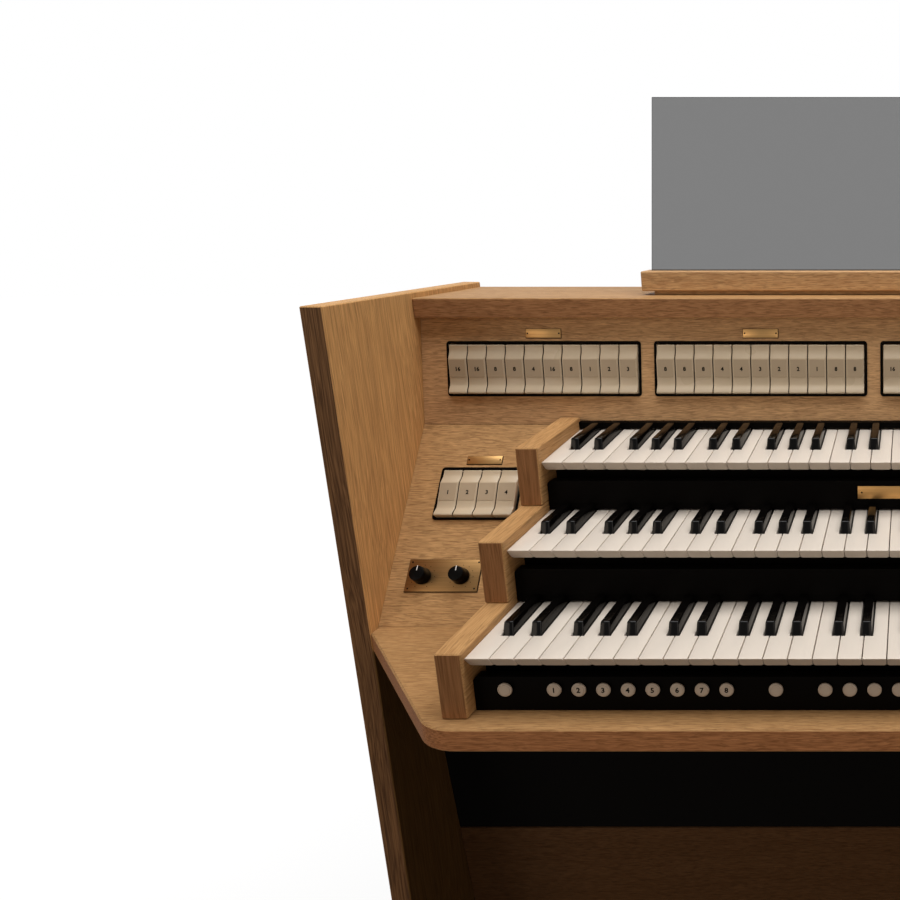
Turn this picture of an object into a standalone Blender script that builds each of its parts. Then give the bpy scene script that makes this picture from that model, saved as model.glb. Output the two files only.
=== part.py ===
"""Three-manual electronic organ: console, manuals, stop tabs, thumb pistons, swell shoes and pedalboard.

Units are metres, +Z is up, and the floor is z = 0. The plane x = 0 halves the console, and the player sits on
the -Y side. Each manual, the stop fascia, the jamb panels and the kneeboard lean, so each has an empty that
carries its slope: along it local Y runs up or back along the surface, and local Z points out of it.
"""

import math

import bmesh
import bpy
from mathutils import Matrix, Vector

# Clearances
FIT = 0.0004  # between pieces that touch on the real console
KEY_GAP = 0.001  # between neighbouring keys

# Casework
SIDE_OUTER = 0.650
SIDE_INNER = 0.6255
INNER = SIDE_INNER - FIT
SIDE_FRONT = 0.0815
BACK = 0.456
SIDE_TOP = 1.159
TOP_PANEL_TOP = 1.152
PANEL = 0.025
TOP_PANEL_FRONT = 0.2625
BACK_PANEL = 0.015
BACK_INNER = BACK - BACK_PANEL
SOFTEN = 0.0012

# Keydesk board, whose corners run back at an angle to the side panels
DESK_TOP = 0.784
DESK_THICK = 0.024
DESK_FRONT = -0.128
DESK_CORNER_X = 0.456
DESK_CORNER_RADIUS = 0.050
CORNER_STEPS = 7

# Slopes, given as the front edge's place and the angle of the surface from the horizontal
FASCIA_FOOT = (0.2554, 0.9925)
FASCIA_ANGLE = math.radians(80.56)
FASCIA_THICK = 0.016
JAMB_FOOT = (0.0970, DESK_TOP)
JAMB_ANGLE = math.radians(52.77)
JAMB_LENGTH = 0.2612
JAMB_THICK = 0.014
KNEE_TOP = 0.429
KNEE_TOP_FRONT = 0.2125
KNEE_LEAN = math.radians(6.0)
KNEE_THICK = 0.018
KNEE_HEIGHT = 0.236
CLOTH_RECESS = 0.008

# Manuals, from the lowest up: front top edge of the naturals, and how far the keys rise to the back
MANUALS = (
    ("lower", -0.1053, 0.8450, math.radians(1.5)),
    ("middle", 0.0073, 0.9120, math.radians(2.3)),
    ("upper", 0.1178, 0.9780, math.radians(3.8)),
)
NATURALS = 36
NATURAL_PITCH = 0.023571
KEYS_HALF = NATURALS * NATURAL_PITCH / 2
KEY_THICK = 0.0122
LIP_UNDERCUT = 0.0107
KEY_PIVOT_Y = 0.270
KEY_PIVOT_Z = -0.010
KEY_RAIL = 0.012
SHARP_FRONT = 0.049
SHARP_HEIGHT = 0.012
SHARP_BACK_HEIGHT = 0.0095
SHARP_BASE = 0.0118
SHARP_TOP = 0.0094
SHARP_OFFSETS = {0: -0.0022, 1: 0.0022, 3: -0.0030, 4: 0.0, 5: 0.0030}

REAR_RAIL = (0.2474, 0.2546, 0.9888, 0.9965)

# Cheeks beside the manuals, stacked, and the black slips under the keys' fronts
CHEEK_OUTER = 0.450
CHEEK_INNER = 0.4244
CHEEK_ROUND = 0.0025
CHEEK_RISE = math.tan(math.radians(2.0))
CHEEKS = (("lower", -0.110, 0.852, 0.300), ("middle", 0.0, 0.924, 0.400), ("upper", 0.111, 0.9965, 0.2545))
SLIP_HALF = 0.4240
SLIP_THICK = 0.012
SLIPS = (
    ("lower", -0.0928, DESK_TOP + FIT, 0.8200),
    ("middle", 0.0205, 0.8500, 0.8865),
    ("upper", 0.1295, 0.9188, 0.9530),
)

# Thumb pistons in the lower slip, in steps of their pitch from the centre plane
PISTON_PITCH = 0.0238
PISTON_STEPS = (0.5, 1.5, 2.5, 3.5, 5.5, 7.5, 8.5, 9.5, 10.5, 11.5, 12.5, 13.5, 14.5, 16.5)
PISTON_Z = 0.8078
PISTON_RADIUS = 0.0073
PISTON_FACE = -0.0970

# Stop tabs
TAB_PITCH = 0.0241
TAB_GAP = 0.0008
TAB_BORDER = 0.0015
FASCIA_TABS = (10, 11, 12, 13)
FASCIA_TABS_HALF = 0.591
FASCIA_WINDOW = (0.0373, 0.1040)
JAMB_TABS = 4
JAMB_WINDOW_X = 0.5876
JAMB_WINDOW = (0.1340, 0.1997)

# Rotary knobs on a brass plate on each jamb
KNOB_XS = (0.5846, 0.5386)
KNOB_UP = 0.0603
KNOB_RADIUS = 0.0102
KNOB_HEIGHT = 0.0165
KNOB_SHAFT = 0.003
PLATE_X = (0.5172, 0.6060)
PLATE_UP = (0.0420, 0.0815)
PLATE_THICK = 0.0012

# Music desk
LEDGE_HALF = 0.349
LEDGE_Y = (0.305, 0.345)
LEDGE_Z = (1.1575, 1.1825)
PANE_HALF = 0.340
PANE_FOOT = (0.3246, 1.1807)
PANE_ANGLE = math.radians(90.0 - 13.85)
PANE_THICK = 0.005
PANE_LENGTH = 0.229
PANE_TENON = 0.012

# Pedalboard: thirty notes from C
PEDAL_PITCH = 0.0635
PEDAL_NATURALS = 18
PEDAL_WIDTH = 0.022
PEDAL_TOP = 0.105
PEDAL_BOTTOM = 0.055
PEDAL_HEEL = -0.428
PEDAL_TOE = 0.275
PEDAL_SHARP_Y = (0.118, 0.268)
PEDAL_SHARP_TOP = 0.143
PEDAL_PIVOT = Vector((0.0, -0.430, 0.060))
FRAME_HALF = 0.597
FRAME_FRONT = -BACK
FRAME_BACK = 0.305

# Swell shoes and toe pistons
SHOE_XS = (-0.075, 0.075)
SHOE_WIDTH = 0.104
SHOE_LENGTH = 0.210
SHOE_PIVOT = Vector((0.0, 0.245, 0.196))
SHOE_ANGLE = math.radians(25.0)
RECESS_HALF = 0.170
RECESS_TOP = 0.288
TOE_PISTON_XS = (0.235, 0.300, 0.365, 0.430, 0.495)
TOE_PISTON_DOWN = 0.200
TOE_PISTON_RADIUS = 0.014

SIDES = (("left", -1), ("right", 1))


def finish(name, colour, roughness, metallic=0.0):
    """A Principled material with one colour."""
    material = bpy.data.materials.new(name)
    material.use_nodes = True
    shader = material.node_tree.nodes["Principled BSDF"]
    shader.inputs["Base Color"].default_value = (*colour, 1.0)
    shader.inputs["Roughness"].default_value = roughness
    shader.inputs["Metallic"].default_value = metallic
    material.diffuse_color = (*colour, 1.0)
    return material


def clear_scene():
    for old in list(bpy.data.objects):
        bpy.data.objects.remove(old, do_unlink=True)


def slope(name, foot, angle):
    """An empty at a surface's lower edge: local Y runs up the surface, and local Z points out of it."""
    empty = bpy.data.objects.new(name, None)
    bpy.context.scene.collection.objects.link(empty)
    empty.location = (0.0, *foot)
    empty.rotation_euler = (angle, 0.0, 0.0)
    return empty


def as_object(name, bm, material, parent=None, origin=None):
    """Makes an object of the bmesh, given in its parent's frame, with its origin at a point of it."""
    bmesh.ops.recalc_face_normals(bm, faces=bm.faces)
    if origin is not None:
        bmesh.ops.translate(bm, verts=bm.verts, vec=-Vector(origin))
    mesh = bpy.data.meshes.new(name)
    bm.to_mesh(mesh)
    bm.free()
    mesh.materials.append(material)
    made = bpy.data.objects.new(name, mesh)
    bpy.context.scene.collection.objects.link(made)
    made.parent = parent
    if origin is not None:
        made.location = origin
    return made


def add_box(bm, x, y, z):
    """Adds a box between two values on each axis, and returns its vertices."""
    verts = bmesh.ops.create_cube(bm, size=1.0)["verts"]
    low, high = (Vector(corner) for corner in zip(x, y, z))
    bmesh.ops.scale(bm, verts=verts, vec=high - low)
    bmesh.ops.translate(bm, verts=verts, vec=(low + high) / 2)
    return verts


def add_prism(bm, outline, direction):
    """Adds the solid that a closed outline sweeps along a direction, and returns its vertices."""
    ring = [bm.verts.new(point) for point in outline]
    face = bm.faces.new(ring)
    swept = bmesh.ops.extrude_face_region(bm, geom=[face])["geom"]
    far = [item for item in swept if isinstance(item, bmesh.types.BMVert)]
    bmesh.ops.translate(bm, verts=far, vec=direction)
    return ring + far


def add_cylinder(bm, centre, radius, length, sides, turn):
    """Adds a cylinder whose axis is Z turned by a matrix."""
    place = Matrix.Translation(centre) @ turn.to_4x4()
    made = bmesh.ops.create_cone(
        bm, cap_ends=True, segments=sides, radius1=radius, radius2=radius, depth=length, matrix=place
    )
    return made["verts"]


ALONG_Y = Matrix.Rotation(math.radians(90.0), 3, "X")
ALONG_X = Matrix.Rotation(math.radians(90.0), 3, "Y")
ALONG_Z = Matrix.Identity(3)


def box(name, x, y, z, material, parent=None):
    bm = bmesh.new()
    add_box(bm, x, y, z)
    return as_object(name, bm, material, parent)


def side_profile(name, profile, x, material, parent=None):
    """A solid with one outline in YZ all the way from one x to the other."""
    bm = bmesh.new()
    add_prism(bm, [(x[0], y, z) for y, z in profile], (x[1] - x[0], 0.0, 0.0))
    return as_object(name, bm, material, parent)


def soften(piece, width=SOFTEN, segments=1):
    bevel = piece.modifiers.new("Soft edges", "BEVEL")
    bevel.width = width
    bevel.segments = segments
    bevel.limit_method = "ANGLE"
    bevel.angle_limit = math.radians(40.0)


def combine(piece, other, operation):
    """Joins or cuts a piece with a helper, which is then left out of the model."""
    other.hide_render = True
    other.display_type = "WIRE"
    boolean = piece.modifiers.new(other.name, "BOOLEAN")
    boolean.operation = operation
    boolean.object = other
    boolean.solver = "EXACT"


def smooth(piece):
    piece.data.shade_smooth()
    piece.data.set_sharp_from_angle(angle=math.radians(35.0))


def make_case(oak):
    """Side, top and back panels."""
    for side, sign in SIDES:
        xs = sorted((sign * SIDE_INNER, sign * SIDE_OUTER))
        panel = box(f"side_panel_{side}", xs, (SIDE_FRONT, BACK), (0.0, SIDE_TOP), oak)
        soften(panel)
    top = box(
        "top_panel", (-INNER, INNER), (TOP_PANEL_FRONT, BACK), (TOP_PANEL_TOP - PANEL, TOP_PANEL_TOP), oak
    )
    soften(top)
    back_top = TOP_PANEL_TOP - PANEL - FIT
    back = box("back_panel", (-INNER, INNER), (BACK_INNER, BACK), (0.150, back_top), oak)
    inlet_hole = box("inlet_hole", (0.474, 0.526), (BACK_INNER - 0.01, BACK + 0.01), (0.219, 0.251), oak)
    combine(back, inlet_hole, "DIFFERENCE")


def desk_outline():
    """The keydesk board from above: a straight front, rounded corners, and edges that run to the sides."""
    angled = Vector((SIDE_INNER - DESK_CORNER_X, SIDE_FRONT - DESK_FRONT))
    turn = math.atan2(angled.y, angled.x)
    run = DESK_CORNER_RADIUS * math.tan(turn / 2)
    centre = Vector((DESK_CORNER_X - run, DESK_FRONT + DESK_CORNER_RADIUS))
    right = []
    for step in range(CORNER_STEPS + 1):
        angle = turn * step / CORNER_STEPS - math.pi / 2
        right.append(centre + DESK_CORNER_RADIUS * Vector((math.cos(angle), math.sin(angle))))
    right.append(Vector((INNER, SIDE_FRONT)))
    right.append(Vector((INNER, BACK_INNER - FIT)))
    left = [Vector((-point.x, point.y)) for point in reversed(right)]
    return left + right


def make_keydesk(oak):
    bm = bmesh.new()
    bottom = DESK_TOP - DESK_THICK
    add_prism(bm, [(point.x, point.y, bottom) for point in desk_outline()], (0.0, 0.0, DESK_THICK))
    desk = as_object("keydesk_board", bm, oak)
    soften(desk, 0.0018)


def tab_windows():
    """Low and high x of each group of tabs on the fascia, from the left."""
    widths = [count * TAB_PITCH + 2 * TAB_BORDER for count in FASCIA_TABS]
    gap = (2 * FASCIA_TABS_HALF - sum(widths)) / (len(widths) - 1)
    found = []
    left = -FASCIA_TABS_HALF
    for width in widths:
        found.append((left, left + width))
        left += width + gap
    return found


def make_fascia(oak, face):
    """The leaning stop fascia, notched over the manuals, with a window for each group of tabs."""
    height = (TOP_PANEL_TOP - PANEL - FIT - FASCIA_FOOT[1]) / math.sin(FASCIA_ANGLE)
    notch = 0.0045
    outline = [
        (-INNER, 0.0),
        (-CHEEK_OUTER, 0.0),
        (-CHEEK_OUTER, notch),
        (CHEEK_OUTER, notch),
        (CHEEK_OUTER, 0.0),
        (INNER, 0.0),
        (INNER, height),
        (-INNER, height),
    ]
    bm = bmesh.new()
    add_prism(bm, [(x, y, -FASCIA_THICK) for x, y in outline], (0.0, 0.0, FASCIA_THICK))
    fascia = as_object("stop_fascia", bm, oak, face)
    holes = bmesh.new()
    for window in tab_windows():
        add_box(holes, window, FASCIA_WINDOW, (-0.03, 0.03))
    combine(fascia, as_object("fascia_windows", holes, oak, face), "DIFFERENCE")


def jamb_window(sign):
    width = JAMB_TABS * TAB_PITCH + 2 * TAB_BORDER
    return sorted((sign * JAMB_WINDOW_X, sign * (JAMB_WINDOW_X - width)))


def add_shaft_holes(bm, sign, radius):
    for x in KNOB_XS:
        add_cylinder(bm, (sign * x, KNOB_UP, 0.0), radius, 0.06, 10, ALONG_Z)


def make_jambs(oak, brass, face):
    """The sloping panels beside the manuals, each with a tab window and a brass plate with two holes."""
    back_foot = JAMB_THICK / math.tan(JAMB_ANGLE)
    profile = [
        (FIT, 0.0),
        (JAMB_LENGTH, 0.0),
        (JAMB_LENGTH, -JAMB_THICK),
        (back_foot + 2 * FIT, -JAMB_THICK),
    ]
    for side, sign in SIDES:
        xs = sorted((sign * (CHEEK_OUTER + FIT), sign * INNER))
        jamb = side_profile(f"jamb_panel_{side}", profile, xs, oak, face)
        holes = bmesh.new()
        add_box(holes, jamb_window(sign), JAMB_WINDOW, (-0.03, 0.03))
        add_shaft_holes(holes, sign, KNOB_SHAFT + 0.001)
        combine(jamb, as_object(f"jamb_holes_{side}", holes, oak, face), "DIFFERENCE")
        plate_x = sorted((sign * PLATE_X[0], sign * PLATE_X[1]))
        plate = box(f"knob_plate_{side}", plate_x, PLATE_UP, (FIT, FIT + PLATE_THICK), brass, face)
        holes = bmesh.new()
        add_shaft_holes(holes, sign, KNOB_SHAFT + 0.0007)
        combine(plate, as_object(f"plate_holes_{side}", holes, brass, face), "DIFFERENCE")


def make_knobs(black, face):
    """Rotary knobs, each with its shaft through the plate and the jamb."""
    for side, sign in SIDES:
        for place, x in zip(("outer", "inner"), KNOB_XS):
            centre = Vector((sign * x, KNOB_UP, 0.0))
            bm = bmesh.new()
            middle = centre + Vector((0, 0, FIT + PLATE_THICK + 0.001 + KNOB_HEIGHT / 2))
            add_cylinder(bm, middle, KNOB_RADIUS, KNOB_HEIGHT, 20, ALONG_Z)
            knob = as_object(f"knob_{side}_{place}", bm, black, face, centre)
            shaft = bmesh.new()
            add_cylinder(shaft, centre + Vector((0, 0, -0.010)), KNOB_SHAFT, 0.032, 8, ALONG_Z)
            combine(knob, as_object(f"shaft_{side}_{place}", shaft, black, face, centre), "UNION")
            smooth(knob)


def tab_profile(height):
    """A rocker tab from the side: a scooped top, a label face that leans in, and a lip that stands out."""
    outline = [
        (0.0, -0.0035),
        (0.0, 0.0075),
        (0.33, 0.0035),
        (0.72, 0.0065),
        (1.0, 0.0032),
        (1.0, -0.0035),
    ]
    low, high = 0.0016, height - 0.0011
    return [(low + part * (high - low), out) for part, out in outline]


def make_tabs(name, window_x, window_y, count, ivory, face):
    """One group of rocker tabs on its hinge bar, with the origin on the bar's axis."""
    height = window_y[1] - window_y[0]
    middle = (window_y[0] + window_y[1]) / 2
    left = (window_x[0] + window_x[1] - count * TAB_PITCH) / 2
    bm = bmesh.new()
    for number in range(count):
        x = left + number * TAB_PITCH + TAB_GAP / 2
        outline = [(x, window_y[0] + up, out) for up, out in tab_profile(height)]
        add_prism(bm, outline, (TAB_PITCH - TAB_GAP, 0.0, 0.0))
    axis = Vector(((window_x[0] + window_x[1]) / 2, middle, -0.0075))
    tabs = as_object(name, bm, ivory, face, axis)
    bar = bmesh.new()
    reach = (left + 0.002, left + count * TAB_PITCH - 0.002)
    add_box(bar, reach, (middle - 0.005, middle + 0.005), (-0.0115, -0.0022))
    combine(tabs, as_object(f"{name}_bar", bar, ivory, face, axis), "UNION")


def note_of(index):
    """The place of a natural in its octave, C being 0."""
    return index % 7


def sharp_between(index):
    """Whether a sharp stands between this natural and the next."""
    return 0 <= index < NATURALS - 1 and note_of(index) in SHARP_OFFSETS


def sharp_centre(index):
    return (index + 1) * NATURAL_PITCH - KEYS_HALF + SHARP_OFFSETS[note_of(index)]


def add_natural(bm, index):
    """A natural: its head as wide as the pitch, its tail between the sharps, its front undercut."""
    left = index * NATURAL_PITCH - KEYS_HALF + KEY_GAP / 2
    right = left + NATURAL_PITCH - KEY_GAP
    slot = SHARP_BASE / 2 + 0.0008
    shoulder = SHARP_FRONT - KEY_GAP
    tail = KEY_PIVOT_Y + 0.003
    outline = [(left, 0.0), (right, 0.0)]
    if sharp_between(index):
        cut = sharp_centre(index) - slot
        outline += [(right, shoulder), (cut, shoulder), (cut, tail)]
    else:
        outline.append((right, tail))
    if sharp_between(index - 1):
        cut = sharp_centre(index - 1) + slot
        outline += [(cut, tail), (cut, shoulder), (left, shoulder)]
    else:
        outline.append((left, tail))
    verts = add_prism(bm, [(x, y, -KEY_THICK) for x, y in outline], (0.0, 0.0, KEY_THICK))
    for vert in verts:
        if vert.co.y == 0.0 and vert.co.z < -KEY_THICK / 2:
            vert.co.y = LIP_UNDERCUT


def add_sharp(bm, index, raised):
    """A sharp: a low stick to the back, and over its front the raised, tapered key, which ends at raised."""
    floor, seat = -0.009, -0.001
    back = KEY_PIVOT_Y - 0.006
    profile = [
        (SHARP_FRONT, floor),
        (back - KEY_RAIL, floor),
        (back - KEY_RAIL, -0.0155),
        (back, -0.0155),
        (back, seat),
        (raised, seat),
        (raised, SHARP_BACK_HEIGHT),
        (SHARP_FRONT + 0.0050, SHARP_HEIGHT),
        (SHARP_FRONT, seat),
    ]
    centre = sharp_centre(index)
    left = centre - SHARP_BASE / 2
    verts = add_prism(bm, [(left, y, z) for y, z in profile], (SHARP_BASE, 0.0, 0.0))
    taper = (SHARP_BASE - SHARP_TOP) / 2 / (SHARP_HEIGHT - seat)
    for x in (left, left + SHARP_BASE):
        on_side = [vert for vert in verts if abs(vert.co.x - x) < 1e-5 and vert.co.y < back - 1e-3]
        level = [vert for vert in on_side if abs(vert.co.z - seat) < 1e-5]
        bmesh.ops.connect_vert_pair(bm, verts=level)
    for vert in verts:
        above = vert.co.z - seat
        if above > 1e-6:
            vert.co.x += taper * above if vert.co.x < centre else -taper * above


def make_manual(name, front, rise, wall, parent, ivory, ebony, steel):
    """Naturals and sharps, each a comb on its own rail at the back, and the tray they move over."""
    axis = Vector((0.0, KEY_PIVOT_Y, KEY_PIVOT_Z))
    bm = bmesh.new()
    for index in range(NATURALS):
        add_natural(bm, index)
    naturals = as_object(f"{name}_naturals", bm, ivory, parent, axis)
    rail = bmesh.new()
    ends = (-KEYS_HALF + KEY_GAP, KEYS_HALF - KEY_GAP)
    add_box(rail, ends, (KEY_PIVOT_Y, KEY_PIVOT_Y + KEY_RAIL), (-KEY_THICK - 0.001, 0.001))
    combine(naturals, as_object(f"{name}_natural_rail", rail, ivory, parent, axis), "UNION")

    bm = bmesh.new()
    raised = (wall - 0.0006 - front) / math.cos(rise)
    for index in range(NATURALS):
        if sharp_between(index):
            add_sharp(bm, index, raised)
    sharps = as_object(f"{name}_sharps", bm, ebony, parent, axis)
    rail = bmesh.new()
    reach = (sharp_centre(0) - 0.008, sharp_centre(NATURALS - 3) + 0.008)
    rail_back = KEY_PIVOT_Y - 0.005
    add_box(rail, reach, (rail_back - KEY_RAIL - 0.002, rail_back), (-0.023, -0.0145))
    combine(sharps, as_object(f"{name}_sharp_rail", rail, ebony, parent, axis), "UNION")

    tray = [
        (0.040, -0.040),
        (0.294, -0.040),
        (0.294, 0.003),
        (0.288, 0.003),
        (0.288, -0.034),
        (0.055, -0.034),
        (0.055, -0.0235),
        (0.040, -0.0235),
    ]
    side_profile(f"{name}_key_tray", tray, (-CHEEK_INNER + FIT, CHEEK_INNER - FIT), steel, parent)


def round_front(cheek, front):
    """Rounds the two upright edges of a cheek's front."""
    bm = bmesh.new()
    bm.from_mesh(cheek.data)
    upright = [edge for edge in bm.edges if all(abs(vert.co.y - front) < 1e-5 for vert in edge.verts)]
    upright = [edge for edge in upright if abs(edge.verts[0].co.x - edge.verts[1].co.x) < 1e-5]
    bmesh.ops.bevel(
        bm, geom=upright, offset=CHEEK_ROUND, offset_type="OFFSET", segments=3, profile=0.5, affect="EDGES"
    )
    bm.to_mesh(cheek.data)
    bm.free()


def make_cheeks(oak):
    """The blocks at the ends of the manuals: upright fronts, and tops that rise a little to the back."""
    below = DESK_TOP
    below_rise = 0.0
    below_front = 0.0
    for name, front, top, back in CHEEKS:
        profile = [
            (front, below + (front - below_front) * below_rise + FIT),
            (front, top),
            (back, top + (back - front) * CHEEK_RISE),
            (back, below + (back - below_front) * below_rise + FIT),
        ]
        for side, sign in SIDES:
            xs = sorted((sign * CHEEK_INNER, sign * CHEEK_OUTER))
            cheek = side_profile(f"{name}_cheek_{side}", profile, xs, oak)
            round_front(cheek, front)
            soften(cheek)
        below, below_rise, below_front = top, CHEEK_RISE, front


def piston_centres():
    xs = [step * PISTON_PITCH for step in PISTON_STEPS]
    return sorted([-x for x in xs] + xs)


def make_slips(black, brass):
    """The black rails under the fronts of the keys, and the one behind the upper keys."""
    for name, front, low, high in SLIPS:
        depth = (front, front + SLIP_THICK)
        slip = box(f"{name}_keyslip", (-SLIP_HALF, SLIP_HALF), depth, (low, high), black)
        if name != "lower":
            continue
        holes = bmesh.new()
        for x in piston_centres():
            hole = 0.0026
            hole_z = (PISTON_Z - hole, PISTON_Z + hole)
            add_box(holes, (x - hole, x + hole), (front - 0.01, front + 0.03), hole_z)
        combine(slip, as_object("stem_holes", holes, black), "DIFFERENCE")
    box("rear_key_rail", (-SLIP_HALF, SLIP_HALF), REAR_RAIL[:2], REAR_RAIL[2:], black)
    box("name_plate", (-0.0627, 0.0627), (0.1281, 0.1291), (0.9316, 0.9467), brass)


def make_thumb_pistons(ivory):
    """Round buttons before the lower slip, whose stems reach one bar behind it."""
    stem = 0.002
    bm = bmesh.new()
    add_box(bm, (-0.400, 0.400), (-0.0785, -0.0735), (PISTON_Z - 0.004, PISTON_Z + 0.004))
    pistons = as_object("thumb_pistons", bm, ivory, None, (0.0, PISTON_FACE, PISTON_Z))
    stems = bmesh.new()
    for x in piston_centres():
        stem_z = (PISTON_Z - stem, PISTON_Z + stem)
        add_box(stems, (x - stem, x + stem), (PISTON_FACE + 0.001, -0.0750), stem_z)
    buttons = bmesh.new()
    for x in piston_centres():
        add_cylinder(buttons, (x, PISTON_FACE + 0.001, PISTON_Z), PISTON_RADIUS, 0.002, 10, ALONG_Y)
    combine(pistons, as_object("piston_stems", stems, ivory), "UNION")
    combine(pistons, as_object("piston_buttons", buttons, ivory), "UNION")


def make_music_desk(oak, acrylic):
    """A ledge on an inset strip, with a groove that the leaning pane stands in."""
    spacer_z = (TOP_PANEL_TOP + FIT, LEDGE_Z[0] - FIT)
    box("ledge_spacer", (-LEDGE_HALF + 0.014, LEDGE_HALF - 0.014), (0.315, 0.340), spacer_z, oak)
    ledge = box("music_ledge", (-LEDGE_HALF, LEDGE_HALF), LEDGE_Y, LEDGE_Z, oak)
    soften(ledge)
    face = slope("pane_face", PANE_FOOT, PANE_ANGLE)
    groove_x = (-PANE_HALF - 0.001, PANE_HALF + 0.001)
    groove = box(
        "pane_groove", groove_x, (-PANE_TENON - 0.001, 0.03), (-PANE_THICK - FIT, FIT), oak, face
    )
    combine(ledge, groove, "DIFFERENCE")
    pane_y = (-PANE_TENON, PANE_LENGTH)
    pane = box("music_pane", (-PANE_HALF, PANE_HALF), pane_y, (-PANE_THICK, 0.0), acrylic, face)
    soften(pane, 0.0006)


def toe_piston_centres(sign):
    return [sign * x for x in TOE_PISTON_XS]


def make_knee_panels(oak, cloth, steel, face):
    """Kneeboard with its swell recess, the speaker baffle above it, and two speakers behind that."""
    board = box("kneeboard", (-INNER, INNER), (-KNEE_HEIGHT, 0.0), (-KNEE_THICK, 0.0), oak, face)
    soften(board)
    cut = bmesh.new()
    recess_up = (RECESS_TOP - KNEE_TOP) / math.cos(KNEE_LEAN)
    add_box(cut, (-RECESS_HALF, RECESS_HALF), (-KNEE_HEIGHT - 0.02, recess_up), (-0.05, 0.05))
    for side, sign in SIDES:
        for x in toe_piston_centres(sign):
            hole_y = (-TOE_PISTON_DOWN - 0.0065, -TOE_PISTON_DOWN + 0.0065)
            add_box(cut, (x - 0.0065, x + 0.0065), hole_y, (-0.05, 0.05))
    combine(board, as_object("kneeboard_cuts", cut, oak, face), "DIFFERENCE")

    baffle_z = (-CLOTH_RECESS - 0.012, -CLOTH_RECESS)
    headroom = DESK_TOP - DESK_THICK - FIT - KNEE_TOP + baffle_z[0] * math.sin(KNEE_LEAN)
    baffle_height = headroom / math.cos(KNEE_LEAN)
    baffle = box("speaker_baffle", (-INNER, INNER), (0.002, baffle_height), baffle_z, cloth, face)
    holes = bmesh.new()
    for side, sign in SIDES:
        add_cylinder(holes, (sign * 0.36, baffle_height / 2, baffle_z[1]), 0.062, 0.08, 20, ALONG_Z)
    combine(baffle, as_object("speaker_holes", holes, cloth, face), "DIFFERENCE")
    for side, sign in SIDES:
        make_speaker(side, (sign * 0.36, baffle_height / 2, baffle_z[0] - FIT), steel, face)


def make_speaker(side, centre, steel, face):
    """A loudspeaker as one turned solid: flange, basket and magnet, with the cone hollowed from the front."""
    outline = [
        (0.0, -0.030),
        (0.020, -0.028),
        (0.058, -0.003),
        (0.064, -0.0002),
        (0.076, 0.0),
        (0.076, -0.005),
        (0.066, -0.006),
        (0.034, -0.042),
        (0.034, -0.062),
        (0.0, -0.062),
    ]
    bm = bmesh.new()
    verts = [bm.verts.new((radius, 0.0, height)) for radius, height in outline]
    edges = [bm.edges.new(pair) for pair in zip(verts, verts[1:])]
    bmesh.ops.spin(
        bm,
        geom=verts + edges,
        cent=(0, 0, 0),
        axis=(0, 0, 1),
        angle=math.tau,
        steps=14,
        use_merge=True,
    )
    bmesh.ops.remove_doubles(bm, verts=bm.verts, dist=1e-6)
    bmesh.ops.translate(bm, verts=bm.verts, vec=centre)
    speaker = as_object(f"speaker_{side}", bm, steel, face)
    smooth(speaker)


def make_electronics(steel, board_green, black):
    """Power amplifier with its fins, sound board with its chips, and mains inlet, all on the back panel."""
    wall = BACK_INNER - FIT
    fins = 9
    outline = [(-0.44, wall), (-0.44, wall - 0.030)]
    for number in range(fins):
        x = -0.44 + number * 0.030
        outline += [(x, wall - 0.060), (x + 0.006, wall - 0.060)]
        if number < fins - 1:
            outline += [(x + 0.006, wall - 0.034), (x + 0.030, wall - 0.034)]
    outline.pop(1)
    outline.append((-0.44 + (fins - 1) * 0.030 + 0.006, wall))
    bm = bmesh.new()
    add_prism(bm, [(x, y, 0.480) for x, y in outline], (0.0, 0.0, 0.120))
    as_object("power_amplifier", bm, steel)

    bm = bmesh.new()
    add_box(bm, (0.080, 0.400), (wall - 0.012, wall - 0.010), (0.460, 0.680))
    board = as_object("sound_board", bm, board_green)
    parts = bmesh.new()
    for column in range(4):
        for row in range(3):
            x = 0.105 + column * 0.072
            z = 0.485 + row * 0.066
            add_box(parts, (x, x + 0.040), (wall - 0.016, wall - 0.011), (z, z + 0.034))
    for x in (0.090, 0.390):
        for z in (0.470, 0.670):
            add_box(parts, (x - 0.004, x + 0.004), (wall - 0.011, wall), (z - 0.004, z + 0.004))
    combine(board, as_object("board_parts", parts, board_green), "UNION")

    bm = bmesh.new()
    add_box(bm, (0.4745, 0.5255), (wall - 0.030, BACK - 0.001), (0.2195, 0.2505))
    inlet = as_object("mains_inlet", bm, black)
    socket = box("socket_hollow", (0.486, 0.514), (BACK - 0.017, BACK + 0.01), (0.226, 0.244), black)
    combine(inlet, socket, "DIFFERENCE")


def pedal_x(index):
    return (index - (PEDAL_NATURALS - 1) / 2) * PEDAL_PITCH


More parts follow.
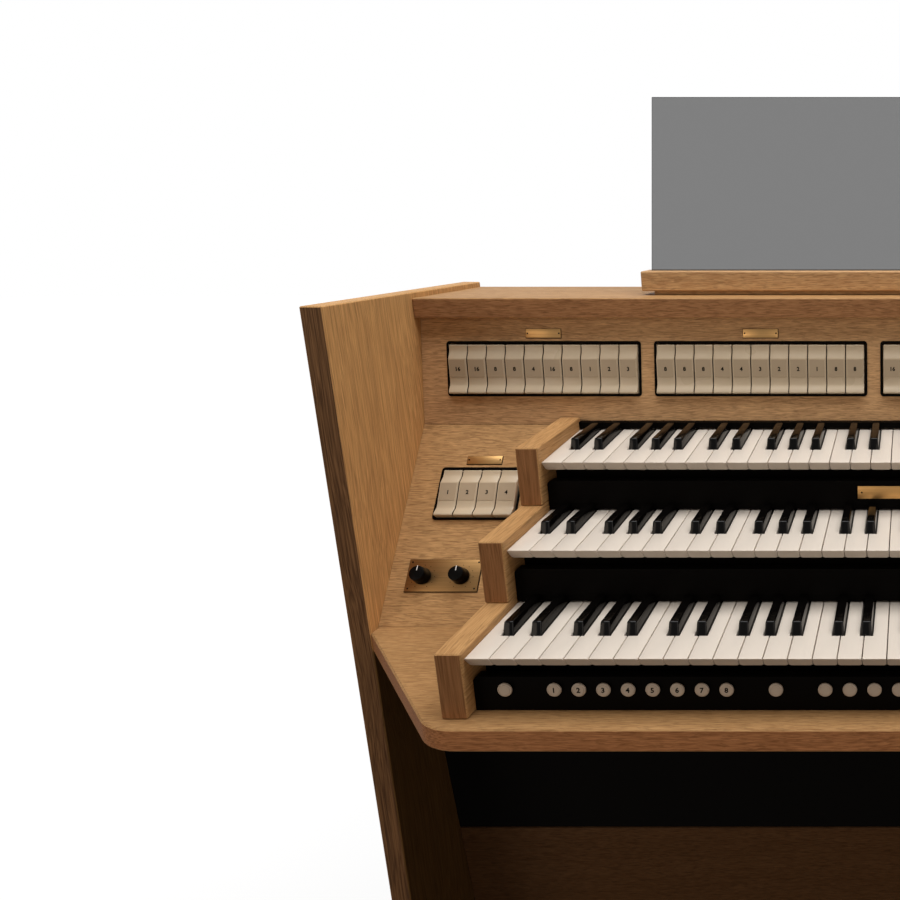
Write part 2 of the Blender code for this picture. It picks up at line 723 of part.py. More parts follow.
def make_pedals(oak, ebony):
    """Frame, naturals and sharps. Both combs turn at the heel end, and their toe ends go down."""
    half = PEDAL_WIDTH / 2
    bm = bmesh.new()
    add_box(bm, (-FRAME_HALF + 0.01, FRAME_HALF - 0.01), (FRAME_FRONT, FRAME_FRONT + 0.024), (0.0, 0.112))
    frame = as_object("pedal_frame", bm, oak)
    rails = bmesh.new()
    for side, sign in SIDES:
        xs = sorted((sign * (FRAME_HALF - 0.022), sign * FRAME_HALF))
        add_box(rails, xs, (FRAME_FRONT + 0.0, FRAME_BACK), (0.0, 0.124))
    combine(frame, as_object("pedal_frame_sides", rails, oak), "UNION")
    rail_x = (-FRAME_HALF + 0.01, FRAME_HALF - 0.01)
    toe_rail = box("pedal_toe_rail", rail_x, (FRAME_BACK - 0.022, FRAME_BACK - 0.001), (0.0, 0.034), oak)
    combine(frame, toe_rail, "UNION")

    bm = bmesh.new()
    for index in range(PEDAL_NATURALS):
        x = pedal_x(index)
        profile = [
            (PEDAL_HEEL, PEDAL_BOTTOM),
            (PEDAL_TOE, PEDAL_BOTTOM),
            (PEDAL_TOE, PEDAL_TOP - 0.012),
            (PEDAL_TOE - 0.020, PEDAL_TOP),
            (PEDAL_HEEL, PEDAL_TOP),
        ]
        add_prism(bm, [(x - half, y, z) for y, z in profile], (PEDAL_WIDTH, 0.0, 0.0))
    naturals = as_object("pedal_naturals", bm, oak, None, PEDAL_PIVOT)
    reach = (pedal_x(0) - half + 0.002, pedal_x(PEDAL_NATURALS - 1) + half - 0.002)
    bar = bmesh.new()
    add_box(bar, reach, (PEDAL_HEEL + 0.001, PEDAL_HEEL + 0.022), (0.028, PEDAL_BOTTOM + 0.003))
    combine(naturals, as_object("pedal_natural_bar", bar, oak, None, PEDAL_PIVOT), "UNION")

    bm = bmesh.new()
    places = [index for index in range(PEDAL_NATURALS - 1) if note_of(index) in SHARP_OFFSETS]
    for index in places:
        x = pedal_x(index) + PEDAL_PITCH / 2
        profile = [
            (PEDAL_HEEL + 0.028, PEDAL_BOTTOM - 0.005),
            (PEDAL_TOE, PEDAL_BOTTOM - 0.005),
            (PEDAL_TOE, PEDAL_TOP - 0.006),
            (PEDAL_SHARP_Y[1], PEDAL_TOP - 0.006),
            (PEDAL_SHARP_Y[1], PEDAL_SHARP_TOP),
            (PEDAL_SHARP_Y[0] + 0.020, PEDAL_SHARP_TOP),
            (PEDAL_SHARP_Y[0], PEDAL_SHARP_TOP - 0.020),
            (PEDAL_SHARP_Y[0], PEDAL_TOP - 0.006),
            (PEDAL_HEEL + 0.028, PEDAL_TOP - 0.006),
        ]
        add_prism(bm, [(x - half, y, z) for y, z in profile], (PEDAL_WIDTH, 0.0, 0.0))
    sharps = as_object("pedal_sharps", bm, ebony, None, PEDAL_PIVOT)
    reach = (pedal_x(places[0]) + PEDAL_PITCH / 2 - 0.009, pedal_x(places[-1]) + PEDAL_PITCH / 2 + 0.009)
    bar = bmesh.new()
    add_box(bar, reach, (PEDAL_HEEL + 0.029, PEDAL_HEEL + 0.050), (0.024, PEDAL_BOTTOM - 0.002))
    combine(sharps, as_object("pedal_sharp_bar", bar, ebony, None, PEDAL_PIVOT), "UNION")


def make_swell(black, steel):
    """Two swell shoes on one shaft, in a housing behind the recess of the kneeboard."""
    wall = 0.012
    bottom = RECESS_TOP - 0.092
    inside = RECESS_HALF - wall
    profile = [
        (0.2545, bottom),
        (0.2545, RECESS_TOP - FIT),
        (0.420, RECESS_TOP - FIT),
        (0.420, bottom),
    ]
    housing = side_profile("swell_housing", profile, (-RECESS_HALF + FIT, RECESS_HALF - FIT), black)
    hollow = box("swell_hollow", (-inside, inside), (0.20, 0.408), (bottom - 0.02, RECESS_TOP - 0.012), black)
    combine(housing, hollow, "DIFFERENCE")
    ears = bmesh.new()
    for side, sign in SIDES:
        xs = sorted((sign * inside, sign * (RECESS_HALF - FIT)))
        add_box(ears, xs, (0.228, 0.262), (SHOE_PIVOT.z - 0.018, SHOE_PIVOT.z + 0.018))
    combine(housing, as_object("swell_ears", ears, black), "UNION")
    bore = bmesh.new()
    add_cylinder(bore, SHOE_PIVOT, 0.0066, 0.36, 12, ALONG_X)
    combine(housing, as_object("swell_bore", bore, black), "DIFFERENCE")

    bm = bmesh.new()
    add_cylinder(bm, SHOE_PIVOT, 0.006, 2 * (RECESS_HALF - 0.002), 12, ALONG_X)
    smooth(as_object("swell_shaft", bm, steel))

    for (side, sign), x in zip(SIDES, SHOE_XS):
        place = Vector((x, SHOE_PIVOT.y, SHOE_PIVOT.z))
        tilt = bpy.data.objects.new(f"swell_tilt_{side}", None)
        bpy.context.scene.collection.objects.link(tilt)
        tilt.location = place
        tilt.rotation_euler = (SHOE_ANGLE, 0.0, 0.0)
        half = SHOE_WIDTH / 2
        bm = bmesh.new()
        sole = [
            (-SHOE_LENGTH / 2, 0.010),
            (SHOE_LENGTH / 2, 0.010),
            (SHOE_LENGTH / 2, 0.026),
            (-SHOE_LENGTH / 2 + 0.010, 0.026),
            (-SHOE_LENGTH / 2, 0.020),
        ]
        add_prism(bm, [(-half, y, z) for y, z in sole], (SHOE_WIDTH, 0.0, 0.0))
        shoe = as_object(f"swell_shoe_{side}", bm, black, tilt)
        hub = bmesh.new()
        add_box(hub, (-0.020, 0.020), (-0.013, 0.013), (-0.012, 0.012))
        combine(shoe, as_object(f"shoe_hub_{side}", hub, black, tilt), "UNION")
        bore = bmesh.new()
        add_cylinder(bore, (0.0, 0.0, 0.0), 0.0065, 0.08, 12, ALONG_X)
        combine(shoe, as_object(f"shoe_bore_{side}", bore, black, tilt), "DIFFERENCE")


def make_toe_pistons(brass, face):
    """Round studs before the kneeboard, whose stems reach one bar behind it on each side."""
    for side, sign in SIDES:
        xs = toe_piston_centres(sign)
        back = -KNEE_THICK - 0.008
        bm = bmesh.new()
        reach = (min(xs) - 0.010, max(xs) + 0.010)
        add_box(bm, reach, (-TOE_PISTON_DOWN - 0.008, -TOE_PISTON_DOWN + 0.008), (back - 0.006, back))
        origin = (sum(xs) / len(xs), -TOE_PISTON_DOWN, 0.0)
        pistons = as_object(f"toe_pistons_{side}", bm, brass, face, origin)
        stems = bmesh.new()
        studs = bmesh.new()
        for x in xs:
            stem_y = (-TOE_PISTON_DOWN - 0.005, -TOE_PISTON_DOWN + 0.005)
            add_box(stems, (x - 0.005, x + 0.005), stem_y, (back - 0.001, 0.010))
            add_cylinder(studs, (x, -TOE_PISTON_DOWN, 0.014), TOE_PISTON_RADIUS, 0.012, 14, ALONG_Z)
        combine(pistons, as_object(f"toe_stems_{side}", stems, brass, face, origin), "UNION")
        combine(pistons, as_object(f"toe_studs_{side}", studs, brass, face, origin), "UNION")


def main():
    clear_scene()
    oak = finish("oak", (0.42, 0.25, 0.12), 0.45)
    ivory = finish("ivory", (0.78, 0.72, 0.64), 0.35)
    ebony = finish("ebony", (0.012, 0.012, 0.013), 0.25)
    black = finish("black_lacquer", (0.006, 0.006, 0.007), 0.45)
    brass = finish("brass", (0.62, 0.40, 0.16), 0.30, 1.0)
    cloth = finish("speaker_cloth", (0.005, 0.005, 0.005), 0.95)
    acrylic = finish("smoked_acrylic", (0.21, 0.21, 0.21), 0.08)
    steel = finish("plated_steel", (0.45, 0.46, 0.47), 0.40, 1.0)
    board_green = finish("circuit_board", (0.03, 0.16, 0.07), 0.50)

    fascia_face = slope("fascia_face", FASCIA_FOOT, FASCIA_ANGLE)
    jamb_face = slope("jamb_face", JAMB_FOOT, JAMB_ANGLE)
    knee_face = slope("knee_face", (KNEE_TOP_FRONT, KNEE_TOP), math.pi / 2 + KNEE_LEAN)

    make_case(oak)
    make_keydesk(oak)
    make_fascia(oak, fascia_face)
    make_jambs(oak, brass, jamb_face)
    make_knobs(black, jamb_face)
    for number, (window, count) in enumerate(zip(tab_windows(), FASCIA_TABS), 1):
        make_tabs(f"fascia_tabs_{number}", window, FASCIA_WINDOW, count, ivory, fascia_face)
    for side, sign in SIDES:
        make_tabs(f"jamb_tabs_{side}", jamb_window(sign), JAMB_WINDOW, JAMB_TABS, ivory, jamb_face)
    walls = (SLIPS[1][1], SLIPS[2][1], REAR_RAIL[0])
    for (name, front, top, rise), wall in zip(MANUALS, walls):
        parent = slope(f"{name}_manual", (front, top), rise)
        make_manual(name, front, rise, wall, parent, ivory, ebony, steel)
    make_cheeks(oak)
    make_slips(black, brass)
    make_thumb_pistons(ivory)
    make_music_desk(oak, acrylic)
    make_knee_panels(oak, cloth, steel, knee_face)
    make_toe_pistons(brass, knee_face)
    make_swell(black, steel)
    make_pedals(oak, ebony)
    make_electronics(steel, board_green, black)


main()
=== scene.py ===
# %% [markdown]
# # An electronic church organ in light oak
# The console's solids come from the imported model. They already have their right sizes and
# places, so this lesson dresses them: it gives the wood its grain, and it rebuilds the keys,
# tabs, buttons and pedals with the soft edges and small parts that the plain solids leave out.

import math

import bmesh
import bpy
from mathutils import Matrix, Vector


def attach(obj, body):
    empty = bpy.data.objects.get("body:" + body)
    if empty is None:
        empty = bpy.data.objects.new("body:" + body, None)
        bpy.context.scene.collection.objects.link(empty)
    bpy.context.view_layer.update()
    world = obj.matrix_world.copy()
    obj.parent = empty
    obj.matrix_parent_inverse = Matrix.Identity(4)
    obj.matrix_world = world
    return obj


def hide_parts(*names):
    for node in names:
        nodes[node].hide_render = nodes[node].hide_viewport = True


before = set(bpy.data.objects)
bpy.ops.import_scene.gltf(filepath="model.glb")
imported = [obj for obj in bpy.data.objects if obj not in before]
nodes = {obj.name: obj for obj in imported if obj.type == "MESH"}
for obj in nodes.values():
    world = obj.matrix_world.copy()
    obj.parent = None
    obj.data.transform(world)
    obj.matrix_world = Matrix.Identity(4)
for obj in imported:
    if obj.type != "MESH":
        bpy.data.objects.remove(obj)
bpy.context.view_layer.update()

# %% [markdown]
# ## The camera
# The photo was taken from a place in front of the console's middle, a little above it, and then
# cropped to the left half. A crop off to one side is a lens shift, so the camera stays square
# to the console and its shift moves the picture.

# %% Camera
camera_data = bpy.data.cameras.new("photo_camera")
camera_data.sensor_fit = "HORIZONTAL"
camera_data.lens = 37.32
camera_data.shift_x = -0.5128
camera_data.shift_y = -0.0056
camera = bpy.data.objects.new("photo_camera", camera_data)
bpy.context.scene.collection.objects.link(camera)
camera.location = (0.0, -0.914, 1.253)
camera.rotation_euler = (math.radians(76.153), 0.0, 0.0)
bpy.context.scene.camera = camera
print("lens", camera_data.lens, "mm, shifted by", round(camera_data.shift_x, 3))

# %% [markdown]
# ## Nodes in a few words
# Every finish below is a small network of nodes. Two helpers keep them readable: one makes a
# material with its main settings, and one adds a node, filling in a number or linking a socket
# for each input that is named.


# %% Material helpers
def new_finish(name, colour, roughness, metallic=0.0):
    """A material with one Principled shader."""
    material = bpy.data.materials.new(name)
    material.use_nodes = True
    set_shader(material, {"Base Color": (*colour, 1.0), "Roughness": roughness, "Metallic": metallic})
    return material


def set_shader(material, sockets):
    """Fills in or links inputs of a material's main shader."""
    fill_in(material, material.node_tree.nodes["Principled BSDF"], sockets)


def fill_in(material, node, sockets):
    """Sets each named input of a node to a number, or links it to another node's output."""
    for label, value in sockets.items():
        if isinstance(value, bpy.types.NodeSocket):
            material.node_tree.links.new(value, node.inputs[label])
        else:
            node.inputs[label].default_value = value


def put(material, kind, sockets, **settings):
    """Adds a node, and returns its first output."""
    node = material.node_tree.nodes.new("ShaderNode" + kind)
    for name, value in settings.items():
        setattr(node, name, value)
    fill_in(material, node, sockets)
    return node.outputs[0]


def object_place(material):
    """Where a point is on its object, in metres, which here is also where it is on the console."""
    node = material.node_tree.nodes.new("ShaderNodeTexCoord")
    return node.outputs["Object"]


def noise(material, place, stretch, detail=3.0, roughness=0.5):
    """Noise that varies so many times a metre along each axis."""
    scaled = put(material, "Mapping", {"Vector": place, "Scale": stretch})
    sockets = {"Vector": scaled, "Scale": 1.0, "Detail": detail, "Roughness": roughness}
    return put(material, "TexNoise", sockets)


def stretch_range(material, value, low, high, to_low=0.0, to_high=1.0):
    """Carries a value from one range to another, and holds it at both ends."""
    sockets = {"Value": value, "From Min": low, "From Max": high, "To Min": to_low, "To Max": to_high}
    return put(material, "MapRange", sockets)


def blend_colours(material, share, first, second, blend_type="MIX"):
    """The first colour where the share is zero, and the second where it is one."""
    sockets = {"Fac": share, "Color1": first, "Color2": second}
    return put(material, "MixRGB", sockets, blend_type=blend_type)


def bump(material, height, distance, strength=1.0):
    """Makes a finish look as if it rises by a distance, in metres, where a value is one."""
    sockets = {"Height": height, "Distance": distance, "Strength": strength}
    set_shader(material, {"Normal": put(material, "Bump", sockets)})


# %% [markdown]
# ## Oak
# Oak veneer has three layers of pattern. Wide, soft bands come from the growth rings, fine
# fibres run along the board, and short dark pores lie between them. All three are one kind of
# noise, stretched a lot along the grain and little across it. A gentle low noise bends the
# lines first, so that they don't look ruled. Turning the coordinates makes the same recipe
# serve boards whose grain runs sideways, front to back or upright. Each way has its own cut,
# which says how short the strokes are.

# %% Oak recipe
GRAIN_TURNS = {
    "sideways": (0.0, 0.0, 0.0),
    "back": (0.0, 0.0, math.pi / 2),
    "upright": (0.0, math.pi / 2, 0.0),
}
GRAIN_CUTS = {"sideways": 2.4, "back": 1.0, "upright": 0.5}
PORE_SHADE = 0.50
PORE_STRENGTH = 0.40


def push_across(material, place, amount, reach):
    """Moves a place across the grain by a noise, up to a reach in metres."""
    step = put(material, "VectorMath", {0: amount, 1: (0.0, reach, reach)}, operation="MULTIPLY")
    return put(material, "VectorMath", {0: place, 1: step}, operation="ADD")


def oak_colours(material, along, tones, offset):
    """The colour, the pores and the tone of oak, from a pale and a dark tone, along one grain."""
    pale, dark = tones
    cut = GRAIN_CUTS[along]
    turned = put(material, "Mapping", {"Vector": object_place(material), "Rotation": GRAIN_TURNS[along]})
    other_log = (offset, offset * 1.7, offset * 0.6)
    moved = put(material, "VectorMath", {0: turned, 1: other_log}, operation="ADD")
    sway = noise(material, moved, (2.6, 6.0, 6.0), 2.0)
    ripple = noise(material, moved, (10.0 * cut, 40.0, 40.0), 1.0)
    place = push_across(material, moved, sway, 0.03)
    place = push_across(material, place, ripple, 0.0016)
    bands = noise(material, place, (1.0, 34.0, 34.0), 2.0)
    rings = noise(material, place, (9.0 * cut, 330.0, 330.0), 1.0, 0.6)
    fibres = noise(material, place, (26.0 * cut, 760.0, 760.0), 1.0, 0.6)
    pores = noise(material, place, (32.0 * cut, 620.0, 620.0), 2.0, 0.6)
    tone = put(material, "Math", {0: bands, 1: 0.16}, operation="MULTIPLY")
    for layer, share in ((rings, 0.20), (fibres, 0.64)):
        tone = put(material, "Math", {0: layer, 1: share, 2: tone}, operation="MULTIPLY_ADD")
    darkness = stretch_range(material, tone, 0.34, 0.66)
    colour = blend_colours(material, darkness, (*pale, 1.0), (*dark, 1.0))
    holes = stretch_range(material, pores, 0.54, 0.62)
    deep = [PORE_SHADE * channel for channel in dark]
    filled = put(material, "Math", {0: holes, 1: PORE_STRENGTH}, operation="MULTIPLY")
    return blend_colours(material, filled, colour, (*deep, 1.0)), holes, tone


def finish_oak(material, colour, holes, tone):
    """Gives oak its satin lacquer, with the pores as fine dents."""
    roughness = stretch_range(material, tone, 0.3, 0.7, 0.46, 0.60)
    set_shader(material, {"Base Color": colour, "Roughness": roughness, "Specular IOR Level": 0.10})
    bump(material, holes, -0.00012, 0.5)


def oak(name, along, tones, offset=0.0):
    """Oak with one cut all over. The offset takes it from another part of the log."""
    material = new_finish(name, tones[0], 0.5)
    finish_oak(material, *oak_colours(material, along, tones, offset))
    return material


print("the grain of oak can run", ", ".join(GRAIN_TURNS))

# %% [markdown]
# ## Boards whose front edge is another cut of wood, with painted shade on some edges
# The side panels and the cheeks have light faces, but their front edges are lipped with darker oak whose
# grain stands upright. One material does both, because a face that points straight to the player picks the
# second recipe. On the desk, the top and the ledge the lipping goes all round, so there every upright face
# picks it. On the cheeks, the desk and the top the edge tone is partly the lipping and partly painted
# shade: it is made darker for upright faces, which catch less light than the tops.


# %% Lipped oak recipe
def face_direction(material):
    """The X, Y and Z of the direction in which a face points."""
    geometry = material.node_tree.nodes.new("ShaderNodeNewGeometry")
    return put(material, "SeparateXYZ", {"Vector": geometry.outputs["Normal"]}).node.outputs


def lipped_oak(name, along, tones, edge_along, edge_tones, offset=0.0, all_round=False):
    """Oak with another cut on its front edge, or on all its upright edges."""
    material = new_finish(name, tones[0], 0.5)
    colour, holes, tone = oak_colours(material, along, tones, offset)
    edge = oak_colours(material, edge_along, edge_tones, offset + 1.0)[0]
    facing = face_direction(material)
    if all_round:
        level = put(material, "Math", {0: facing["Z"]}, operation="ABSOLUTE")
        share = stretch_range(material, level, 0.60, 0.45)
    else:
        share = stretch_range(material, facing["Y"], -0.80, -0.92)
    finish_oak(material, blend_colours(material, share, colour, edge), holes, tone)
    return material


# Painted shade: below this height, the inner faces of the side panels are multiplied by a dark grey, for
# the shade under the desk.
UNDER_DESK = 0.759
UNDER_DESK_PAINTED_SHADE = (0.20, 0.20, 0.18, 1.0)


def paint_shade_under_desk(material):
    """Paints shade on the inner faces of the side panels below the desk: a painted shade under the desk, as
    on the kneeboard.
    """
    place = put(material, "SeparateXYZ", {"Vector": object_place(material)}).node.outputs
    facing = face_direction(material)["X"]
    inward = put(material, "Math", {0: place["X"], 1: facing}, operation="MULTIPLY")
    inner = stretch_range(material, inward, -0.2, -0.5)
    below = stretch_range(material, place["Z"], UNDER_DESK + 0.006, UNDER_DESK)
    painted_shade_share = put(material, "Math", {0: inner, 1: below}, operation="MULTIPLY")
    shader = material.node_tree.nodes["Principled BSDF"]
    plain = shader.inputs["Base Color"].links[0].from_socket
    colour = blend_colours(material, painted_shade_share, plain, UNDER_DESK_PAINTED_SHADE, "MULTIPLY")
    set_shader(material, {"Base Color": colour})


# %% [markdown]
# Each board has a pale and a dark tone of its own, because no two boards of a console are quite the same
# colour. The kneeboard's tones are far darker than the rest: that is painted shade, for the deep shade
# under the desk. An offset takes it from another part of the log, so that no stroke comes twice.

# %% Kinds of oak
PLAIN_OAK = ((0.66, 0.400, 0.196), (0.40, 0.224, 0.106))
JAMB_OAK = ((0.585, 0.343, 0.150), (0.348, 0.189, 0.078))
# Painted shade: the kneeboard's oak is made far darker, for the shade under the desk.
SHADED_OAK = ((0.127, 0.067, 0.031), (0.075, 0.035, 0.014))
DESK_OAK = ((0.50, 0.285, 0.12), (0.33, 0.170, 0.066))
# Partly painted shade: the desk's and the top's edge tones are darker in part to stand in for less light on
# upright faces.
DESK_EDGE = ((0.57, 0.258, 0.108), (0.315, 0.128, 0.050))
TOP_EDGE = ((0.43, 0.214, 0.094), (0.238, 0.107, 0.044))
LEDGE_EDGE = ((0.68, 0.44, 0.22), (0.44, 0.243, 0.110))
SIDE_OAK = ((0.73, 0.405, 0.157), (0.435, 0.226, 0.084))
SIDE_EDGE = ((0.26, 0.135, 0.060), (0.085, 0.040, 0.018))
CHEEK_OAK = ((0.54, 0.305, 0.126), (0.38, 0.195, 0.074))
# Partly painted shade: the cheeks' upright front tone is made darker still, for less light on upright
# faces.
CHEEK_EDGE = ((0.33, 0.158, 0.066), (0.22, 0.098, 0.038))

oak_sideways = oak("oak_sideways", "sideways", PLAIN_OAK)
oak_jamb = oak("oak_jamb", "sideways", JAMB_OAK, 5.0)
oak_shaded = oak("oak_shaded", "sideways", SHADED_OAK, 6.0)
oak_upright = oak("oak_upright", "upright", PLAIN_OAK, 0.6)
oak_desk = lipped_oak("oak_desk", "sideways", DESK_OAK, "sideways", DESK_EDGE, 2.0, True)
oak_top = lipped_oak("oak_top", "sideways", DESK_OAK, "sideways", TOP_EDGE, 3.0, True)
oak_ledge = lipped_oak("oak_ledge", "sideways", PLAIN_OAK, "sideways", LEDGE_EDGE, 4.0, True)
oak_side = lipped_oak("oak_side_panel", "upright", SIDE_OAK, "upright", SIDE_EDGE)
paint_shade_under_desk(oak_side)
oak_cheek = lipped_oak("oak_cheek", "back", CHEEK_OAK, "upright", CHEEK_EDGE, 0.3)
oak_rails = lipped_oak("oak_rails", "back", CHEEK_OAK, "sideways", CHEEK_OAK, 7.0)
print("made", len([m for m in bpy.data.materials if m.name.startswith("oak")]), "kinds of oak")

# %% [markdown]
# ## Plastics, brass, cloth and steel
# The natural keys and the tabs are a warm white moulding with the faintest mottle. Sharps are a glossier
# black than the slips under the keys. Brass is brushed lengthwise, so its roughness is a noise stretched
# along X. It comes in three tones of one brass: the plates under the knobs are made darker, as painted
# shade, and the name plate lighter, as painted light, for the light that each catches and mirrors.


# %% Plain finishes
def moulded(name, colour, roughness, mottle=0.04, specular=0.5):
    """A moulded or painted surface whose colour and gloss vary very slightly."""
    material = new_finish(name, colour, roughness)
    patches = noise(material, object_place(material), (30.0, 30.0, 30.0), 0.0)
    shade = tuple(channel * (1.0 - 2.0 * mottle) for channel in colour)
    gloss = stretch_range(material, patches, 0.1, 0.9, roughness * 0.85, roughness * 1.15)
    share = stretch_range(material, patches, 0.1, 0.9)
    colours = blend_colours(material, share, (*colour, 1.0), (*shade, 1.0))
    set_shader(material, {"Base Color": colours, "Roughness": gloss, "Specular IOR Level": specular})
    return material


def brushed_metal(name, colour, roughness, stretch=(6.0, 1600.0, 1600.0)):
    """Metal with fine lines, which run along the axis that is stretched least."""
    material = new_finish(name, colour, roughness, 1.0)
    lines = noise(material, object_place(material), stretch, 2.0)
    shade = tuple(channel * 0.82 for channel in colour)
    share = stretch_range(material, lines, 0.35, 0.65)
    colours = blend_colours(material, share, (*colour, 1.0), (*shade, 1.0))
    gloss = stretch_range(material, lines, 0.3, 0.7, roughness * 0.8, roughness * 1.2)
    set_shader(material, {"Base Color": colours, "Roughness": gloss})
    bump(material, lines, 0.00002, 0.3)
    return material


key_white = moulded("key_white", (0.74, 0.655, 0.565), 0.32, 0.015)
tab_white = moulded("tab_white", (0.53, 0.425, 0.295), 0.30, 0.02)
label_grey = moulded("label_grey", (0.425, 0.330, 0.222), 0.42, 0.02)
stem_grey = moulded("stem_grey", (0.16, 0.15, 0.13), 0.45, 0.05)
piston_white = moulded("piston_white", (0.55, 0.472, 0.395), 0.35, 0.03)
sharp_black = moulded("sharp_black", (0.0022, 0.0018, 0.0016), 0.10, 0.1, 0.20)
slip_black = moulded("slip_black", (0.0020, 0.0015, 0.0012), 0.5, 0.1, 0.04)
knob_black = moulded("knob_black", (0.0032, 0.0028, 0.0025), 0.34, 0.1, 0.06)
rubber_black = moulded("rubber_black", (0.018, 0.018, 0.018), 0.7, 0.15, 0.3)
ink = moulded("ink", (0.003, 0.0025, 0.002), 0.6, 0.1, 0.1)
pointer_white = moulded("pointer_white", (0.75, 0.73, 0.70), 0.4)
brass = brushed_metal("brass", (0.56, 0.33, 0.13), 0.40)
# Painted shade and painted light: the same brass, darker for the knob plates and lighter for the name
# plate.
brass_painted_shade = brushed_metal("brass_painted_shade", (0.325, 0.185, 0.073), 0.45)
brass_painted_light = brushed_metal("brass_painted_light", (0.72, 0.41, 0.15), 0.40)
steel = brushed_metal("zinc_steel", (0.42, 0.43, 0.44), 0.42, (900.0, 900.0, 8.0))
print(len(bpy.data.materials), "finishes so far")

# %% [markdown]
# Loudspeaker cloth is a plain weave of black yarn. Two waves at right angles make the over and
# under of the threads, and their product drives both the bump and a little lift in the colour.
# The music pane is smoked acrylic, which lets light through but keeps most of it. The circuit
# board is green laminate with faint tracks, and the chips that stand on it are black.

# %% Cloth and acrylic
WEAVE = 260.0
cloth_black = new_finish("speaker_cloth", (0.003, 0.003, 0.003), 0.95)
threads = []
for axis in ("X", "Z"):
    sockets = {"Vector": object_place(cloth_black), "Scale": WEAVE, "Distortion": 0.4, "Detail": 1.0}
    weave = put(cloth_black, "TexWave", sockets, bands_direction=axis)
    threads.append(weave.node.outputs["Fac"])
crossing = put(cloth_black, "Math", {0: threads[0], 1: threads[1]}, operation="MULTIPLY")
yarn = blend_colours(cloth_black, crossing, (0.0015, 0.0015, 0.0015, 1.0), (0.006, 0.006, 0.006, 1.0))
set_shader(cloth_black, {"Base Color": yarn, "Specular IOR Level": 0.1})
bump(cloth_black, crossing, 0.0003, 0.6)

acrylic = new_finish("smoked_acrylic", (0.211, 0.211, 0.211), 0.02)
set_shader(acrylic, {"Transmission Weight": 1.0, "IOR": 1.45})
haze = noise(acrylic, object_place(acrylic), (9.0, 9.0, 9.0), 2.0)
set_shader(acrylic, {"Roughness": stretch_range(acrylic, haze, 0.3, 0.7, 0.01, 0.03)})

print("the cloth has a thread every", round(1000.0 * math.tau / (20.0 * WEAVE), 2), "mm")

# %% Circuit board
LAMINATE_FRONT = 0.4287
LAMINATE_GREEN = (0.015, 0.11, 0.04, 1.0)
TRACK_GREEN = (0.05, 0.22, 0.09, 1.0)
CHIP_BLACK = (0.01, 0.01, 0.01, 1.0)
board_green = new_finish("circuit_board", (0.02, 0.13, 0.05), 0.4)
depth = put(board_green, "SeparateXYZ", {"Vector": object_place(board_green)}).node.outputs["Y"]
in_front = stretch_range(board_green, depth, LAMINATE_FRONT, LAMINATE_FRONT - 0.0004)
tracks = noise(board_green, object_place(board_green), (300.0, 300.0, 40.0), 0.0)
track_share = stretch_range(board_green, tracks, 0.50, 0.53)
laminate = blend_colours(board_green, track_share, LAMINATE_GREEN, TRACK_GREEN)
colour = blend_colours(board_green, in_front, laminate, CHIP_BLACK)
set_shader(board_green, {"Base Color": colour})
print("the chips stand in front of y", LAMINATE_FRONT)

# %% [markdown]
# ## Dress the solids that keep their shape
# Boards, trays and the pane are right as they are, so each only gets its finish.


# %% Give a solid its finish
def dress(material, *names):
    """Gives solids one finish each, in place of their plain grey."""
    for name in names:
        nodes[name].data.materials.clear()
        nodes[name].data.materials.append(material)


SIDES = (("left", -1), ("right", 1))
LEVELS = ("lower", "middle", "upper")
dress(oak_side, "side_panel_left", "side_panel_right")
dress(oak_cheek, *[f"{level}_cheek_{side}" for level in LEVELS for side, sign in SIDES])
dress(oak_sideways, "stop_fascia")
dress(oak_jamb, "jamb_panel_left", "jamb_panel_right")
dress(oak_shaded, "kneeboard")
dress(oak_desk, "keydesk_board")
dress(oak_top, "top_panel")
dress(oak_ledge, "music_ledge", "ledge_spacer")
dress(oak_upright, "back_panel")
dress(oak_rails, "pedal_frame")
dress(slip_black, "rear_key_rail", "swell_housing", "mains_inlet", "speaker_baffle")
dress(slip_black, *[f"{level}_key_tray" for level in LEVELS])
dress(steel, "power_amplifier", "swell_shaft", "speaker_left", "speaker_right")
dress(board_green, "sound_board")
dress(acrylic, "music_pane")
print("dressed the solids")

# %% [markdown]
# ## Making and placing new pieces
# A new piece is built in a bmesh. Parts on a sloping face are built flat, with X along the
# face, Y up it and Z out of it, and then turned into place in one go, so that the piece's own
# object can stay unturned at the origin.


# %% Piece helpers
def slope(foot, degrees):
    """Carries a flat layout onto a face that starts at foot (y, z), at an angle to the floor."""
    return Matrix.Translation((0.0, *foot)) @ Matrix.Rotation(math.radians(degrees), 4, "X")


def edges_of(verts):
    """Every edge that meets any of some vertices, once each and in the same order every time."""
    return list(dict.fromkeys(line for vert in verts for line in vert.link_edges))


def soften(bm, edges, width, segments=2):
    """Rounds edges over a width in metres."""
    bmesh.ops.bevel(
        bm, geom=edges, offset=width, offset_type="OFFSET", segments=segments,
        profile=0.5, affect="EDGES", material=-1, clamp_overlap=True,
    )


def add_block(bm, x, y, z, edge=0.0, segments=2):
    """A box between two values on each axis, with soft edges if a width is given."""
    made = bmesh.ops.create_cube(bm, size=1.0)["verts"]
    low, high = (Vector(corner) for corner in zip(x, y, z))
    bmesh.ops.scale(bm, verts=made, vec=high - low)
    bmesh.ops.translate(bm, verts=made, vec=(low + high) / 2)
    if edge:
        soften(bm, edges_of(made), edge, segments)
    return made


